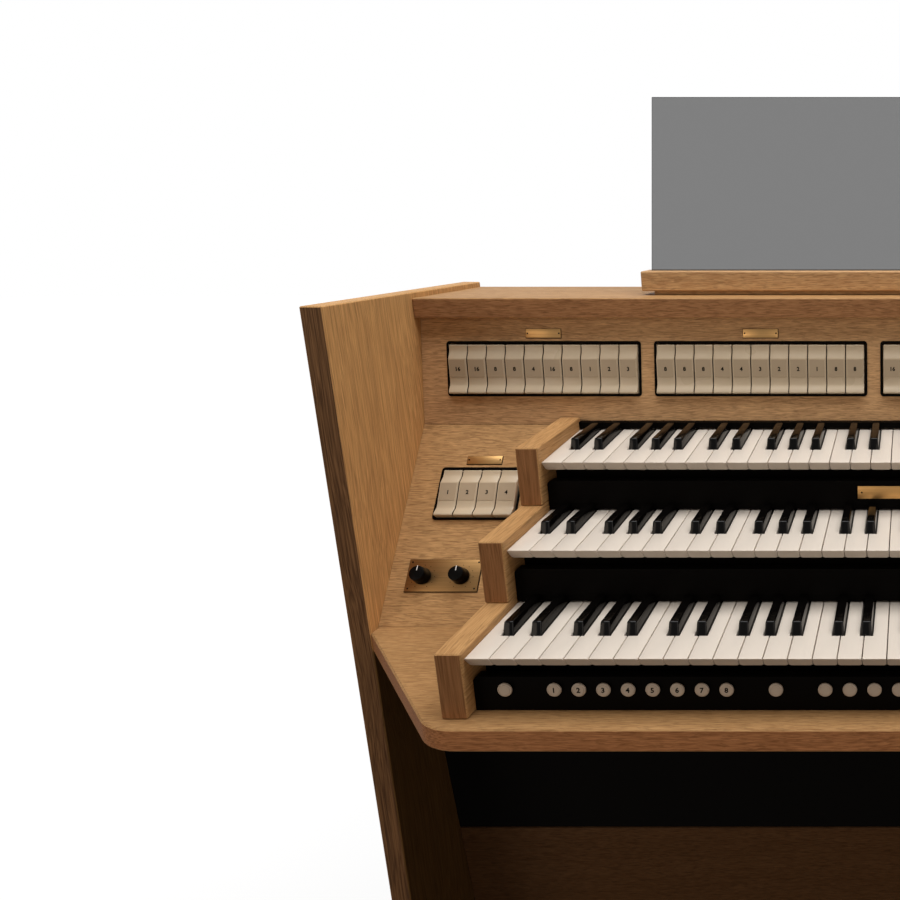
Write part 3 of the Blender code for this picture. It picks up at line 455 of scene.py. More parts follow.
def add_turned(bm, outline, centre, steps=24):
    """A round part from half its outline, given as radius and height, about Z."""
    verts = [bm.verts.new((radius, 0.0, height)) for radius, height in outline]
    edges = [bm.edges.new(pair) for pair in zip(verts, verts[1:])]
    bmesh.ops.spin(
        bm, geom=verts + edges, cent=(0, 0, 0), axis=(0, 0, 1),
        angle=math.tau, steps=steps, use_merge=True,
    )
    part = connected(verts[0])
    bmesh.ops.remove_doubles(bm, verts=part, dist=1e-6)
    part = [vert for vert in part if vert.is_valid]
    bmesh.ops.translate(bm, verts=part, vec=centre)
    return part


def connected(start):
    """Every vertex that can be reached from one of them."""
    found = {start: True}
    waiting = [start]
    while waiting:
        vert = waiting.pop()
        for line in vert.link_edges:
            other = line.other_vert(vert)
            if other not in found:
                found[other] = True
                waiting.append(other)
    return list(found)


SHARP_FROM = math.radians(30.0)


def finish_piece(name, bm, body, materials, replaces, place=None):
    """Turns a bmesh into a piece that rides on a body, and may stand in for solids."""
    bmesh.ops.recalc_face_normals(bm, faces=bm.faces)
    if place is not None:
        bmesh.ops.transform(bm, matrix=place, verts=bm.verts)
    mesh = bpy.data.meshes.new(name)
    bm.to_mesh(mesh)
    bm.free()
    for material in materials:
        mesh.materials.append(material)
    mesh.shade_smooth()
    mesh.set_sharp_from_angle(angle=SHARP_FROM)
    made = bpy.data.objects.new(name, mesh)
    bpy.context.scene.collection.objects.link(made)
    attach(made, body)
    if replaces:
        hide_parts(*replaces)
    print(name, len(mesh.polygons), "faces")
    return made


# %% [markdown]
# ## The manuals
# Each manual has 61 keys. An organ natural is a flat plate with a crisp but softened edge, and
# its front slopes back underneath, so that the fingertip meets a thin lip. The plan of a
# natural changes with its neighbours, because it gives way to the sharps behind. One outline
# per key is extruded down, and then only its upper edges are bevelled.

# %% Key layout
MANUALS = {
    "lower": slope((-0.1053, 0.8450), 1.5),
    "middle": slope((0.0073, 0.9120), 2.3),
    "upper": slope((0.1178, 0.9780), 3.8),
}
NATURALS = 36
KEY_PITCH = 0.023571
KEY_GAP = 0.0010
KEY_THICK = 0.0122
KEY_TAIL = 0.270
LIP_UNDERCUT = 0.0105
SHARP_FRONT = 0.049
SHARP_BASE = 0.0118
SHOULDER = SHARP_FRONT - 0.0009
SHARP_ROOM = SHARP_BASE / 2 + 0.0008
SHARP_OFFSETS = {0: -0.0022, 1: 0.0022, 3: -0.0030, 4: 0.0, 5: 0.0030}
KEYS_LEFT = -NATURALS * KEY_PITCH / 2


def sharp_after(index):
    """The middle of the sharp between a natural and the next, or None where there is no sharp."""
    if 0 <= index < NATURALS - 1 and index % 7 in SHARP_OFFSETS:
        return KEYS_LEFT + (index + 1) * KEY_PITCH + SHARP_OFFSETS[index % 7]
    return None


def natural_outline(index):
    """A natural's plan: its full width in front, and cut away beside each sharp behind."""
    left = KEYS_LEFT + index * KEY_PITCH + KEY_GAP / 2
    right = left + KEY_PITCH - KEY_GAP
    before, after = sharp_after(index - 1), sharp_after(index)
    points = [(left, 0.0), (right, 0.0)]
    if after is None:
        points.append((right, KEY_TAIL))
    else:
        cut = after - SHARP_ROOM
        points += [(right, SHOULDER), (cut, SHOULDER), (cut, KEY_TAIL)]
    if before is None:
        points.append((left, KEY_TAIL))
    else:
        cut = before + SHARP_ROOM
        points += [(cut, KEY_TAIL), (cut, SHOULDER), (left, SHOULDER)]
    return points


print("manual of", NATURALS, "naturals,", round(NATURALS * KEY_PITCH, 4), "m wide")


# %% Natural keys
STEM_DEPTH = (0.0270, 0.0372)
STEM_HEIGHT = (-0.0180, -0.0125)


def sweep(bm, face, step):
    """Sweeps a face into a solid by one step, and returns the corners of its far side."""
    swept = bmesh.ops.extrude_face_region(bm, geom=[face], use_keep_orig=True)["geom"]
    far = [item for item in swept if isinstance(item, bmesh.types.BMVert)]
    bmesh.ops.translate(bm, verts=far, vec=step)
    return far


def round_corners(bm, verts, width, segments):
    """Cuts corners off with one segment, or rounds them with more."""
    return bmesh.ops.bevel(
        bm, geom=verts, offset=width, offset_type="OFFSET", segments=segments,
        profile=0.5, affect="VERTICES", material=-1,
    )


def add_natural(bm, index):
    """One natural: returns its upper edges, and the two lower corners of its lip."""
    face = bm.faces.new([bm.verts.new((x, y, 0.0)) for x, y in natural_outline(index)])
    upper = list(face.edges)
    lower = sweep(bm, face, (0.0, 0.0, -KEY_THICK))
    front = [vert for vert in lower if vert.co.y < 1e-5]
    bmesh.ops.translate(bm, verts=front, vec=(0.0, LIP_UNDERCUT, 0.0))
    return upper, front


def add_stem(bm, index):
    """The guide under a key, which shows as a grey block behind the gap above the slip."""
    left = KEYS_LEFT + index * KEY_PITCH + 0.0012
    stem = add_block(bm, (left, left + KEY_PITCH - 0.0024), STEM_DEPTH, STEM_HEIGHT)
    for face in {face for vert in stem for face in vert.link_faces}:
        face.material_index = 1


for level, place in MANUALS.items():
    bm = bmesh.new()
    body = f"{level}_naturals"
    upper_edges = []
    lip_corners = []
    for index in range(NATURALS):
        upper, front = add_natural(bm, index)
        upper_edges += upper
        lip_corners += front
    soften(bm, upper_edges, 0.0007, 2)
    round_corners(bm, lip_corners, 0.0020, 1)
    for index in range(NATURALS):
        add_stem(bm, index)
    finish_piece(f"{level}_natural_keys", bm, body, [key_white, stem_grey], [body], place)

# %% [markdown]
# A sharp is a tapered block. It stands only over the front half of its key and ends at the slip
# above it. Narrowing the top of a box gives the taper, pushing its upper front edge back gives
# the slope that the finger slides up, and a wide bevel rounds what the hand touches.

# %% Sharp keys
SHARP_REACH = {"lower": 0.1252, "middle": 0.1217, "upper": 0.1293}
SHARP_HEIGHT = 0.012
SHARP_FALL = 0.0025
SHARP_SLOPE = 0.0060
SHARP_TAPER = 0.78


def add_sharp(bm, centre, reach):
    """A sharp's block, narrower at the top, which falls a little to the back, and its stick behind."""
    add_block(bm, (centre - 0.0055, centre + 0.0055), (0.080, 0.262), (-0.009, -0.0012))
    half = SHARP_BASE / 2
    block = add_block(bm, (centre - half, centre + half), (SHARP_FRONT, reach), (-0.006, SHARP_HEIGHT))
    top = [vert for vert in block if vert.co.z > 0.0]
    front = [vert for vert in top if vert.co.y < reach - 1e-4]
    back = [vert for vert in top if vert not in front]
    to_centre = Matrix.Translation((-centre, 0.0, 0.0))
    bmesh.ops.scale(bm, verts=top, vec=(SHARP_TAPER, 1.0, 1.0), space=to_centre)
    bmesh.ops.translate(bm, verts=front, vec=(0.0, SHARP_SLOPE, 0.0))
    bmesh.ops.translate(bm, verts=back, vec=(0.0, 0.0, -SHARP_FALL))
    soften(bm, edges_of(front), 0.0014, 4)


for level, place in MANUALS.items():
    bm = bmesh.new()
    body = f"{level}_sharps"
    for index in range(NATURALS):
        centre = sharp_after(index)
        if centre is not None:
            add_sharp(bm, centre, SHARP_REACH[level])
    finish_piece(f"{level}_sharp_keys", bm, body, [sharp_black], [body], place)

# %% [markdown]
# ## Keyslips
# Black slips close the gap under the front of each manual. A slip is a plain strip with its two
# upper corners rounded. The thumb pistons stand in front of the lower one.


# %% Keyslips
def keyslip(level, front, low, high):
    """A slip between two heights, with its front at one depth."""
    bm = bmesh.new()
    made = add_block(bm, (-0.4240, 0.4240), (front, front + 0.012), (low, high))
    corners = []
    for line in edges_of(made):
        first, second = (vert.co for vert in line.verts)
        if min(first.z, second.z) > high - 1e-4 and abs(first.x - second.x) < 1e-4:
            corners.append(line)
    soften(bm, corners, 0.0055, 5)
    finish_piece(f"{level}_slip", bm, "console", [slip_black], [f"{level}_keyslip"])


keyslip("lower", -0.0928, 0.7844, 0.8200)
keyslip("middle", 0.0205, 0.8500, 0.8865)
keyslip("upper", 0.1295, 0.9188, 0.9530)

# %% [markdown]
# ## Rocker stop tabs
# A tab is moulded with a scoop above a ridge, a flat label below the ridge that looks slightly
# down, and a second scoop that rises to the lip the finger presses. The side view is drawn once
# as a line of points and swept across the width of the tab in steps. Near both sides the steps
# are a little lower and shorter, which rounds the rim.

# %% Tab shape
FASCIA = slope((0.2554, 0.9925), 80.56)
JAMB = slope((0.0970, 0.7840), 52.77)
TAB_PITCH = 0.0241
TAB_GAP = 0.0011
TAB_WIDTH = TAB_PITCH - TAB_GAP
ROOM_BELOW = 0.0016
ROOM_ABOVE = 0.0028
TAB_SIDE = (
    (1.000, -0.0030), (1.000, 0.0022), (0.992, 0.0031), (0.978, 0.0034), (0.955, 0.0031), (0.890, 0.0029),
    (0.850, 0.0033), (0.790, 0.0047), (0.735, 0.0062), (0.712, 0.0067), (0.698, 0.0066), (0.335, 0.0040),
    (0.300, 0.0037), (0.240, 0.0034), (0.190, 0.0035), (0.160, 0.0039), (0.110, 0.0056), (0.060, 0.0072),
    (0.030, 0.0078), (0.008, 0.0075), (0.000, 0.0064), (0.000, -0.0030),
)
TAB_RIM = ((0.0, 0.0011), (0.0002, 0.0005), (0.0006, 0.0001), (0.0012, 0.0))


def add_tab(bm, left, low, high):
    """One tab, swept from side to side in steps, and its label as a thin plate."""
    bottom, top = low + ROOM_BELOW, high - ROOM_ABOVE
    middle, length = (bottom + top) / 2, top - bottom
    steps = list(TAB_RIM) + [(TAB_WIDTH - across, inset) for across, inset in reversed(TAB_RIM)]
    inset = steps[0][1]
    points = []
    for up, out in TAB_SIDE:
        y = middle + (up - 0.5) * (length - 2 * inset)
        points.append((left, y, out - inset if out > 0.0 else out))
    face = bm.faces.new([bm.verts.new(point) for point in points])
    to_middle = Matrix.Translation((0.0, -middle, 0.0))
    for (before, old), (across, new) in zip(steps, steps[1:]):
        swept = bmesh.ops.extrude_face_region(bm, geom=[face, *face.edges])["geom"]
        face = next(item for item in swept if isinstance(item, bmesh.types.BMFace))
        verts = list(face.verts)
        front = [vert for vert in verts if vert.co.z > 0.0]
        growth = (length - 2 * new) / (length - 2 * old)
        bmesh.ops.translate(bm, verts=verts, vec=(across - before, 0.0, 0.0))
        bmesh.ops.translate(bm, verts=front, vec=(0.0, 0.0, old - new))
        bmesh.ops.scale(bm, verts=verts, vec=(1.0, growth, 1.0), space=to_middle)
    add_label(bm, left + TAB_WIDTH / 2, bottom, top)


FELT = 0.0009
FELT_SUNK = 0.0010


def add_felt(bm, middle, low, high):
    """Dark felt in the gap between two tabs, a little lower than their edges."""
    bottom, top = low + 0.0030, high - 0.0042
    left = middle - FELT / 2
    points = [(left, bottom + up * (top - bottom), out - FELT_SUNK) for up, out in TAB_SIDE]
    face = bm.faces.new([bm.verts.new(point) for point in points])
    face.material_index = 2
    sweep(bm, face, (FELT, 0.0, 0.0))


LABEL_HALF = 0.0098
LABEL_ENDS = ((0.338, 0.00435), (0.695, 0.00687))
LABEL_THICK = 0.0008


def add_label(bm, middle, bottom, top):
    """The printed plate under the ridge, which follows the flat part of the tab."""
    left, right = middle - LABEL_HALF, middle + LABEL_HALF
    foot, head = ((bottom + up * (top - bottom), out) for up, out in LABEL_ENDS)
    corners = ((left, *foot), (right, *foot), (right, *head), (left, *head))
    face = bm.faces.new([bm.verts.new(corner) for corner in corners])
    sweep(bm, face, (0.0, 0.0, -LABEL_THICK))
    face.material_index = 1


print("a tab is", round(1000.0 * TAB_WIDTH, 1), "mm wide, and its side view has", len(TAB_SIDE), "points")

# %% [markdown]
# The numbers are the pitches that organ stops are named by, such as 8 and 16. Each is written
# as a text curve, becomes a mesh, and is laid on its label.


# %% Printed numbers
def add_number(bm, text, height, place):
    """A flat number, centred on a place, as thick as a coat of ink."""
    curve = bpy.data.curves.new("number", "FONT")
    curve.body = text
    curve.align_x = "CENTER"
    curve.align_y = "CENTER"
    curve.size = height * 1.4
    curve.extrude = 0.00003
    curve.offset = height * 0.05
    curve.resolution_u = 2
    holder = bpy.data.objects.new("number", curve)
    bpy.context.scene.collection.objects.link(holder)
    bpy.context.view_layer.update()
    mesh = bpy.data.meshes.new_from_object(holder)
    mesh.transform(place)
    bm.from_mesh(mesh)
    bpy.data.objects.remove(holder)
    bpy.data.curves.remove(curve)
    bpy.data.meshes.remove(mesh)


# %% Rows of tabs
def tab_row(name, place, window_x, window_y, pitches):
    """The tabs of one window, felt between them, and a number on each label."""
    count = len(pitches)
    left = (window_x[0] + window_x[1] - count * TAB_PITCH) / 2
    bm = bmesh.new()
    letters = bmesh.new()
    height = window_y[1] - window_y[0] - ROOM_BELOW - ROOM_ABOVE
    label_middle = window_y[0] + ROOM_BELOW + 0.50 * height
    (foot_up, foot_out), (head_up, head_out) = LABEL_ENDS
    lean = Matrix.Rotation(math.atan2(head_out - foot_out, (head_up - foot_up) * height), 4, "X")
    for number, pitch in enumerate(pitches):
        x = left + number * TAB_PITCH + TAB_GAP / 2
        add_tab(bm, x, *window_y)
        if number:
            add_felt(bm, left + number * TAB_PITCH, *window_y)
        spot = Matrix.Translation((x + TAB_WIDTH / 2, label_middle, NUMBER_OUT))
        add_number(letters, pitch, 0.0050, spot @ lean)
    finish_piece(f"{name}_rockers", bm, name, [tab_white, label_grey, ink], [name], place)
    finish_piece(f"{name}_numbers", letters, name, [ink], (), place)


NUMBER_OUT = 0.00560
FASCIA_WINDOW = (0.0373, 0.1040)
FASCIA_REACH = 0.591
JAMB_WINDOW = (0.1340, 0.1997)
JAMB_REACH = (0.4882, 0.5876)
WINDOW_MARGIN = 0.003
GROUPS = (
    ("16", "16", "8", "8", "4", "16", "8", "1", "2", "3"),
    ("8", "8", "8", "4", "4", "3", "2", "2", "1", "8", "8"),
    ("16", "8", "8", "8", "4", "4", "3", "2", "2", "5", "8", "8"),
    ("16", "8", "8", "8", "4", "4", "2", "1", "3", "16", "8", "8", "4"),
)
widths = [len(group) * TAB_PITCH + WINDOW_MARGIN for group in GROUPS]
space = (2 * FASCIA_REACH - sum(widths)) / (len(widths) - 1)
window_left = -FASCIA_REACH
fascia_windows = []
for width in widths:
    fascia_windows.append((window_left, window_left + width))
    window_left += width + space
jamb_windows = {side: sorted(sign * x for x in JAMB_REACH) for side, sign in SIDES}

for number, (window, group) in enumerate(zip(fascia_windows, GROUPS), 1):
    tab_row(f"fascia_tabs_{number}", FASCIA, window, FASCIA_WINDOW, group)
for side, window in jamb_windows.items():
    tab_row(f"jamb_tabs_{side}", JAMB, window, JAMB_WINDOW, ("1", "2", "3", "4"))

# %% [markdown]
# Each group of tabs sits in a thin black frame with rounded corners. The frame is one face with
# a smaller one inset in it: the inner face goes, and the ring gets its thickness.


# %% Tab frames
FRAME_LIP = 0.0019
FRAME_WIDE = 0.0022
FRAME_PROUD = 0.0008
FRAME_DEEP = 0.0060
FRAME_CORNER = 0.0042


def tab_frame(name, place, x, y):
    """A black ring that lines a window and stands just proud of the wood."""
    bm = bmesh.new()
    left, right = x[0] - FRAME_LIP, x[1] + FRAME_LIP
    bottom, top = y[0] - FRAME_LIP, y[1] + FRAME_LIP
    corners = ((left, bottom), (right, bottom), (right, top), (left, top))
    face = bm.faces.new([bm.verts.new((*corner, FRAME_PROUD)) for corner in corners])
    rounded = round_corners(bm, list(face.verts), FRAME_CORNER, 5)
    face = rounded["verts"][0].link_faces[0]
    bmesh.ops.inset_individual(bm, faces=[face], thickness=FRAME_WIDE)
    bmesh.ops.delete(bm, geom=[face], context="FACES")
    bmesh.ops.solidify(bm, geom=list(bm.faces), thickness=FRAME_DEEP)
    finish_piece(name, bm, "console", [slip_black], (), place)


for number, window in enumerate(fascia_windows, 1):
    tab_frame(f"fascia_frame_{number}", FASCIA, window, FASCIA_WINDOW)
for side, window in jamb_windows.items():
    tab_frame(f"jamb_frame_{side}", JAMB, window, JAMB_WINDOW)

# %% [markdown]
# ## Thumb pistons
# Each piston is a shallow turned button on a stem. A button is round, so its outline is drawn
# once and spun. The first eight carry numbers, and a bar behind them joins all the stems.

# %% Thumb pistons
NUMBERED = 8
PISTON_PITCH = 0.0238
PISTON_STEPS = (0.5, 1.5, 2.5, 3.5, 5.5, 7.5, 8.5, 9.5, 10.5, 11.5, 12.5, 13.5, 14.5, 16.5)
PISTON_Z = 0.8078
FACE_PLAYER = Matrix.Translation((0.0, -0.0950, PISTON_Z)) @ Matrix.Rotation(math.pi / 2, 4, "X")
BUTTON = (
    (0.0, 0.0024), (0.0050, 0.0023), (0.0053, 0.0018), (0.0056, 0.0018), (0.0058, 0.0022), (0.0065, 0.0020),
    (0.0069, 0.0015), (0.0070, 0.0008), (0.0070, 0.0), (0.0, 0.0),
)
bm = bmesh.new()
numbers = bmesh.new()
for sign in (-1, 1):
    for step in PISTON_STEPS:
        x = sign * step * PISTON_PITCH
        add_turned(bm, BUTTON, (x, 0.0, 0.0), 28)
        add_block(bm, (x - 0.0018, x + 0.0018), (-0.0018, 0.0018), (-0.0195, 0.0005))
for count in range(NUMBERED):
    x = (count - 14.5) * PISTON_PITCH
    add_number(numbers, str(count + 1), 0.0052, Matrix.Translation((x, 0.0, 0.00243)))
add_block(bm, (-0.400, 0.400), (-0.004, 0.004), (-0.0215, -0.0175))
body = "thumb_pistons"
finish_piece("thumb_piston_buttons", bm, body, [piston_white], [body], FACE_PLAYER)
finish_piece("thumb_piston_numbers", numbers, body, [ink], (), FACE_PLAYER)

# %% [markdown]
# ## Knobs and brass plates
# A rotary knob is a turned black cap with a slight waist and fine ribs, and a white line on its
# top shows where it points. The ribs come from pressing in every second spoke of the turned
# shape. Under each pair lies a brass plate held by four pins.


# %% Knobs
KNOB_SPOTS = {"outer": 0.5846, "inner": 0.5386}
KNOB_UP = 0.0603
KNOB_SPOKES = 40
GROOVE = 0.025
KNOB_SIDE = (
    (0.0, 0.0185), (0.0075, 0.0185), (0.0086, 0.0181), (0.0090, 0.0173), (0.0093, 0.0120), (0.0097, 0.0060),
    (0.0101, 0.0045), (0.0102, 0.0030), (0.0099, 0.0022), (0.0, 0.0022),
)
SHAFT_SIDE = ((0.0, 0.003), (0.003, 0.003), (0.003, -0.024), (0.0, -0.024))


def press_grooves(cap, x):
    """Draws every second spoke of a knob's side a little inwards."""
    for vert in cap:
        around = Vector((vert.co.x - x, vert.co.y - KNOB_UP))
        if 0.0050 < vert.co.z < 0.0176 and around.length > 0.008:
            turn = around.angle_signed(Vector((1.0, 0.0))) / math.tau
            if round(turn * KNOB_SPOKES) % 2:
                vert.co.x -= GROOVE * around.x
                vert.co.y -= GROOVE * around.y


for side, sign in SIDES:
    for spot, away in KNOB_SPOTS.items():
        x = sign * away
        name = f"knob_{side}_{spot}"
        bm = bmesh.new()
        press_grooves(add_turned(bm, KNOB_SIDE, (x, KNOB_UP, 0.0), KNOB_SPOKES), x)
        add_turned(bm, SHAFT_SIDE, (x, KNOB_UP, 0.0), 12)
        finish_piece(f"{name}_cap", bm, name, [knob_black], [name], JAMB)
        bm = bmesh.new()
        along = (KNOB_UP + 0.0030, KNOB_UP + 0.0088)
        add_block(bm, (x - 0.0005, x + 0.0005), along, (0.0180, 0.01862))
        finish_piece(f"{name}_line", bm, name, [pointer_white], (), JAMB)

# %% [markdown]
# The plates carry nothing but their pins and, around each knob, a ring of small dots. A thin black backing
# shows along the lower and outer edges of each: it is a painted shadow, a dark strip where the plate's
# shadow line falls.


# %% Brass plates
def add_pin(bm, x, y, z, radius=0.0011):
    """A small domed pin that stands on a plate."""
    outline = ((0.0, 0.0005), (radius * 0.6, 0.0004), (radius, 0.0), (radius, -0.0006), (0.0, -0.0006))
    add_turned(bm, outline, (x, y, z), 10)


def brass_plate(name, place, x, y, z, pins, metal=brass, replaces=()):
    """A brushed plate with dark pins through it, on a thin black backing that is a painted shadow line."""
    bm = bmesh.new()
    add_block(bm, x, y, z, 0.0003, 2)
    finish_piece(name, bm, "console", [metal], replaces, place)
    bm = bmesh.new()
    # Painted shadow: the black backing sticks out most below and to the right, where the plate's shadow
    # falls.
    wide, high = (x[0] - 0.0005, x[1] + 0.0007), (y[0] - 0.0008, y[1] + 0.0003)
    add_block(bm, wide, high, (z[0] - 0.0003, z[0] + 0.0004))
    for pin_x, pin_y in pins:
        add_pin(bm, pin_x, pin_y, z[1])
    finish_piece(f"{name}_pins", bm, "console", [ink], (), place)


PLATE_FACE = 0.0016
DOT_RING = 0.0140
DOT = ((0.0, 0.00006), (0.0005, 0.00006), (0.0005, -0.0002), (0.0, -0.0002))
for side, sign in SIDES:
    x = sorted((sign * 0.5172, sign * 0.6037))
    pins = [(px, py) for px in (x[0] + 0.0035, x[1] - 0.0035) for py in (0.0455, 0.0780)]
    where = (x, (0.0420, 0.0815), (0.0004, PLATE_FACE))
    brass_plate(f"knob_brass_{side}", JAMB, *where, pins, brass_painted_shade, [f"knob_plate_{side}"])
    dots = bmesh.new()
    for away in KNOB_SPOTS.values():
        for step in range(11):
            angle = math.radians(240.0 - 30.0 * step)
            dot_x = sign * away + DOT_RING * math.cos(angle)
            dot_y = KNOB_UP + DOT_RING * math.sin(angle)
            add_turned(dots, DOT, (dot_x, dot_y, PLATE_FACE), 8)
    finish_piece(f"knob_scale_{side}", dots, "console", [ink], (), JAMB)

# %% Label plates and the name plate
LABEL_FACE = (0.0, 0.0013)


def label_plate(name, place, middle, half, pin, y):
    """A small plate over a window, with a pin near each end."""
    pins = [(middle + across, sum(y) / 2) for across in (-pin, pin)]
    brass_plate(name, place, (middle - half, middle + half), y, LABEL_FACE, pins)


for number, window in enumerate(fascia_windows, 1):
    middle = sum(window) / 2
    label_plate(f"fascia_label_{number}", FASCIA, middle, 0.0222, 0.0200, (0.1100, 0.1212))
for side, sign in SIDES:
    label_plate(f"jamb_label_{side}", JAMB, sign * 0.5382, 0.0218, 0.0195, (0.2060, 0.2170))
UPRIGHT = Matrix.Translation((0.0, 0.1291, 0.9391)) @ Matrix.Rotation(math.pi / 2, 4, "X")
where = ((-0.0627, 0.0627), (-0.0076, 0.0076), (0.0, 0.0011))
pins = [(-0.058, 0.0), (0.058, 0.0)]
brass_plate("blank_name_plate", UPRIGHT, *where, pins, brass_painted_light, ["name_plate"])

# %% [markdown]
# ## Loudspeaker cloth
# The cloth is stretched over a thin wooden frame, which is pushed into the opening above the kneeboard
# until it is flush. It is a sheet, built as a thin block the size it was cut to.

# %% Cloth and its frame
KNEE = slope((0.2125, 0.4290), 96.0)
RAIL = 0.0220
RAIL_DEPTH = (-0.0077, -0.0019)
bm = bmesh.new()
for y in (0.0030, 0.3040):
    add_block(bm, (-0.6240, 0.6240), (y, y + RAIL), RAIL_DEPTH, 0.0005, 1)
for x in (-0.6240, -0.0110, 0.6020):
    add_block(bm, (x, x + RAIL), (0.0252, 0.3038), RAIL_DEPTH, 0.0005, 1)
finish_piece("cloth_frame", bm, "console", [slip_black], (), KNEE)
bm = bmesh.new()
add_block(bm, (-0.6246, 0.6246), (0.0024, 0.3266), (-0.0018, -0.0010))
cloth = finish_piece("stretched_cloth", bm, "console", [cloth_black], (), KNEE)

# %% [markdown]
# ## Pedalboard
# The pedals are long oak bars, rounded where the shoe slides on them. The sharps carry a black
# block near their far end, higher than the naturals, with a rounded nose.

# %% Natural pedals
PEDAL_PITCH = 0.0635
PEDAL_HALF = 0.011
PEDAL_FAR = 0.275
PEDALS = 18


def pedal_x(index):
    """The middle of one natural pedal."""
    return (index - (PEDALS - 1) / 2) * PEDAL_PITCH


bm = bmesh.new()
for index in range(PEDALS):
    x = pedal_x(index)
    add_block(bm, (x - PEDAL_HALF, x + PEDAL_HALF), (-0.428, PEDAL_FAR), (0.055, 0.105), 0.0035, 3)
add_block(bm, (-0.549, 0.549), (-0.427, -0.406), (0.028, 0.058), 0.001)
finish_piece("pedal_natural_bars", bm, "pedal_naturals", [oak_cheek], ["pedal_naturals"])

# %% Sharp pedals
STICK_TOP = 0.0985
CAP_HALF = 0.0109
sticks = bmesh.new()
caps = bmesh.new()
for index in range(PEDALS - 1):
    if index % 7 in SHARP_OFFSETS:
        x = pedal_x(index) + PEDAL_PITCH / 2
        across = (x - PEDAL_HALF, x + PEDAL_HALF)
        add_block(sticks, across, (-0.400, PEDAL_FAR), (0.050, STICK_TOP), 0.002, 2)
        cap = add_block(caps, (x - CAP_HALF, x + CAP_HALF), (0.118, 0.268), (STICK_TOP, 0.143))
        nose = [vert for vert in cap if vert.co.y < 0.13 and vert.co.z > 0.12]
        bmesh.ops.translate(caps, verts=nose, vec=(0.0, 0.016, 0.0))
        soften(caps, edges_of(cap), 0.0040, 4)
add_block(sticks, (-0.5185, 0.4555), (-0.399, -0.378), (0.024, 0.053), 0.001)
finish_piece("pedal_sharp_bars", sticks, "pedal_sharps", [oak_cheek], ["pedal_sharps"])
finish_piece("pedal_sharp_caps", caps, "pedal_sharps", [sharp_black], ["pedal_sharps"])

# %% [markdown]
# ## Swell shoes and toe studs
# A swell shoe is a metal plate under a ribbed rubber tread, framed by a thin bright edge. The
# toe studs are turned brass domes.

# %% Swell shoes
for side, sign in SIDES:
    body = f"swell_shoe_{side}"
    lean = Matrix.Rotation(math.radians(25.0), 4, "X")
    place = Matrix.Translation((sign * 0.075, 0.245, 0.196)) @ lean
    bm = bmesh.new()
    add_block(bm, (-0.0518, 0.0518), (-0.1048, 0.1048), (0.0100, 0.0170), 0.0015, 2)
    add_block(bm, (-0.020, 0.020), (-0.013, 0.013), (-0.012, 0.0110))
    finish_piece(f"swell_plate_{side}", bm, body, [steel], [body], place)
    bm = bmesh.new()
    add_block(bm, (-0.0490, 0.0490), (-0.1020, 0.1020), (0.0168, 0.0215), 0.002, 2)
    for rib in range(13):
        y = -0.0900 + rib * 0.0150
        add_block(bm, (-0.0450, 0.0450), (y - 0.0030, y + 0.0030), (0.0205, 0.0245), 0.0012, 2)
    finish_piece(f"swell_tread_{side}", bm, body, [rubber_black], (), place)

# %% Toe studs
STUD = (
    (0.0, 0.0200), (0.0070, 0.0192), (0.0115, 0.0172), (0.0136, 0.0140), (0.0140, 0.0110),
    (0.0138, 0.0085), (0.0, 0.0085),
)
for side, sign in SIDES:
    body = f"toe_pistons_{side}"
    bm = bmesh.new()
    centres = [sign * x for x in (0.235, 0.300, 0.365, 0.430, 0.495)]
    for x in centres:
        add_turned(bm, STUD, (x, -0.200, 0.0), 28)
        add_block(bm, (x - 0.005, x + 0.005), (-0.205, -0.195), (-0.0265, 0.0095))
    add_block(bm, (min(centres) - 0.010, max(centres) + 0.010), (-0.208, -0.192), (-0.032, -0.026))
    finish_piece(f"toe_studs_{side}", bm, body, [brass], [body], KNEE)

# %% [markdown]
# ## Screws on the back
# The back panel comes off for repairs, so round-headed screws hold it along its edges.

# %% Back screws
BEHIND = Matrix.Translation((0.0, 0.4560, 0.0)) @ Matrix.Rotation(-math.pi / 2, 4, "X")
SCREW = (
    (0.0, 0.0022), (0.0020, 0.0020), (0.0038, 0.0010), (0.0042, 0.0), (0.0042, -0.0010),
    (0.0, -0.0010),
)
bm = bmesh.new()
spots = [(x, z) for x in (-0.60, -0.30, 0.0, 0.30, 0.60) for z in (0.175, 1.100)]
spots += [(x, z) for x in (-0.60, 0.60) for z in (0.48, 0.79)]
for x, z in spots:
    add_turned(bm, SCREW, (x, -z, 0.0), 16)
finish_piece("back_screws", bm, "console", [steel], (), BEHIND)

# %% [markdown]
# ## Floor and light
# The console stands on a plain pale floor. A large soft lamp overhead gives the tops of the keys their
# brightness. Two weaker, warmer ones in front, to the left and the right, fill the upright fronts, which
# stay darker, as in the photo. To the camera, and through the acrylic, the world and the floor look white,
# and the floor darkens only under the console, where its glow is turned down as a painted shadow. Mirrored
# rays see less of that white, so that black plastic stays black, and all other rays see almost nothing of
# it, so that it adds no light of its own.


# %% Floor and world
def seen_directly(setting, mirrored):
    """One for what is seen directly or through acrylic, and less for what is seen mirrored."""
    path = put(setting, "LightPath", {}).node.outputs
    rays = {0: path["Is Camera Ray"], 1: path["Is Transmission Ray"]}
    direct = put(setting, "Math", rays, operation="MAXIMUM")
    indirect = put(setting, "Math", {0: path["Is Glossy Ray"], 1: mirrored}, operation="MULTIPLY")
    return put(setting, "Math", {0: direct, 1: indirect}, operation="MAXIMUM")


floor_white = new_finish("floor", (0.14, 0.14, 0.14), 0.9)
seen = seen_directly(floor_white, 0.25)
measure = put(floor_white, "VectorMath", {0: object_place(floor_white)}, operation="LENGTH").node
away = measure.outputs["Value"]
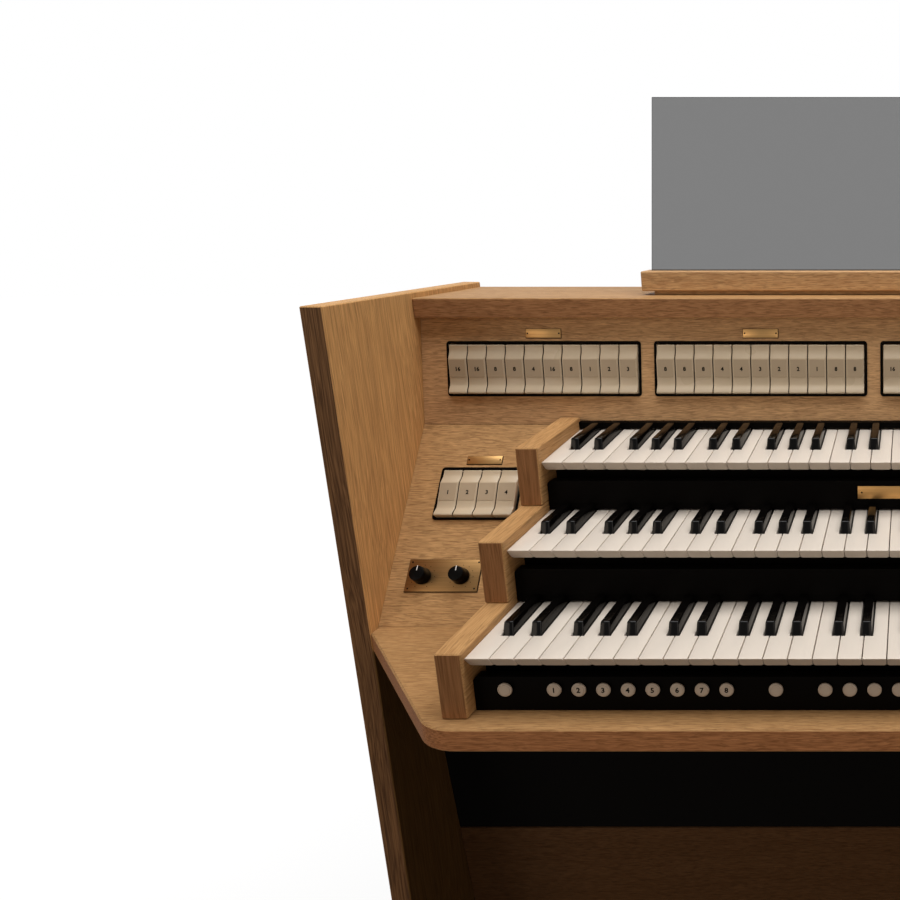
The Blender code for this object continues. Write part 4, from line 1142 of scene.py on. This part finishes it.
# Painted shadow: the floor glows less near the console, 0.45 within 0.45 m of its middle, rising to 0.90 at
# 1.15 m.
near = stretch_range(floor_white, away, 0.45, 1.15, 0.45, 0.90)
far = stretch_range(floor_white, away, 1.15, 2.4, 0.0, 0.10)
white = put(floor_white, "Math", {0: near, 1: far}, operation="ADD")
glow = put(floor_white, "Math", {0: seen, 1: white}, operation="MULTIPLY")
set_shader(floor_white, {"Emission Color": (1.0, 1.0, 1.0, 1.0), "Emission Strength": glow})
set_shader(floor_white, {"Specular IOR Level": 0.0})
bm = bmesh.new()
bmesh.ops.create_grid(bm, x_segments=1, y_segments=1, size=14.0)
mesh = bpy.data.meshes.new("floor")
bm.to_mesh(mesh)
bm.free()
mesh.materials.append(floor_white)
floor = bpy.data.objects.new("floor", mesh)
bpy.context.scene.collection.objects.link(floor)

world = bpy.data.worlds.new("studio")
world.use_nodes = True
bpy.context.scene.world = world
direction = world.node_tree.nodes.new("ShaderNodeTexCoord").outputs["Generated"]
towards = put(world, "SeparateXYZ", {"Vector": direction}).node.outputs
bright_side = put(world, "Math", {0: towards["X"], 1: towards["Y"]}, operation="MAXIMUM")
mirrored = stretch_range(world, bright_side, 0.2, 0.8, 0.25, 1.0)
strength = stretch_range(world, seen_directly(world, mirrored), 0.0, 1.0, 0.07, 1.0)
background = world.node_tree.nodes["Background"]
fill_in(world, background, {"Color": (1.0, 1.0, 1.0, 1.0), "Strength": strength})
print("floor and world are white only to the viewer")


# %% Lamps
WARM = (1.0, 0.84, 0.68)


def soft_lamp(name, place, turned, size, power, colour=(1.0, 1.0, 1.0)):
    """A rectangular lamp that shines straight down, and is then turned about X, Y and Z."""
    data = bpy.data.lights.new(name, "AREA")
    data.color = colour
    data.shape = "RECTANGLE"
    data.size, data.size_y = size
    data.energy = power
    lamp = bpy.data.objects.new(name, data)
    bpy.context.scene.collection.objects.link(lamp)
    lamp.location = place
    lamp.rotation_euler = [math.radians(angle) for angle in turned]
    print(name, "shines with", power, "watts")


soft_lamp("overhead", (0.3, 0.05, 3.2), (0.0, 0.0, 0.0), (3.0, 1.6), 78.0)
soft_lamp("front_left", (-2.6, -2.7, 1.5), (82.0, 0.0, -42.0), (2.2, 2.2), 26.5, WARM)
soft_lamp("front_right", (1.7, -3.3, 1.6), (81.0, 0.0, 28.0), (3.0, 2.0), 20.0, WARM)
bpy.context.scene.view_settings.view_transform = "Standard"
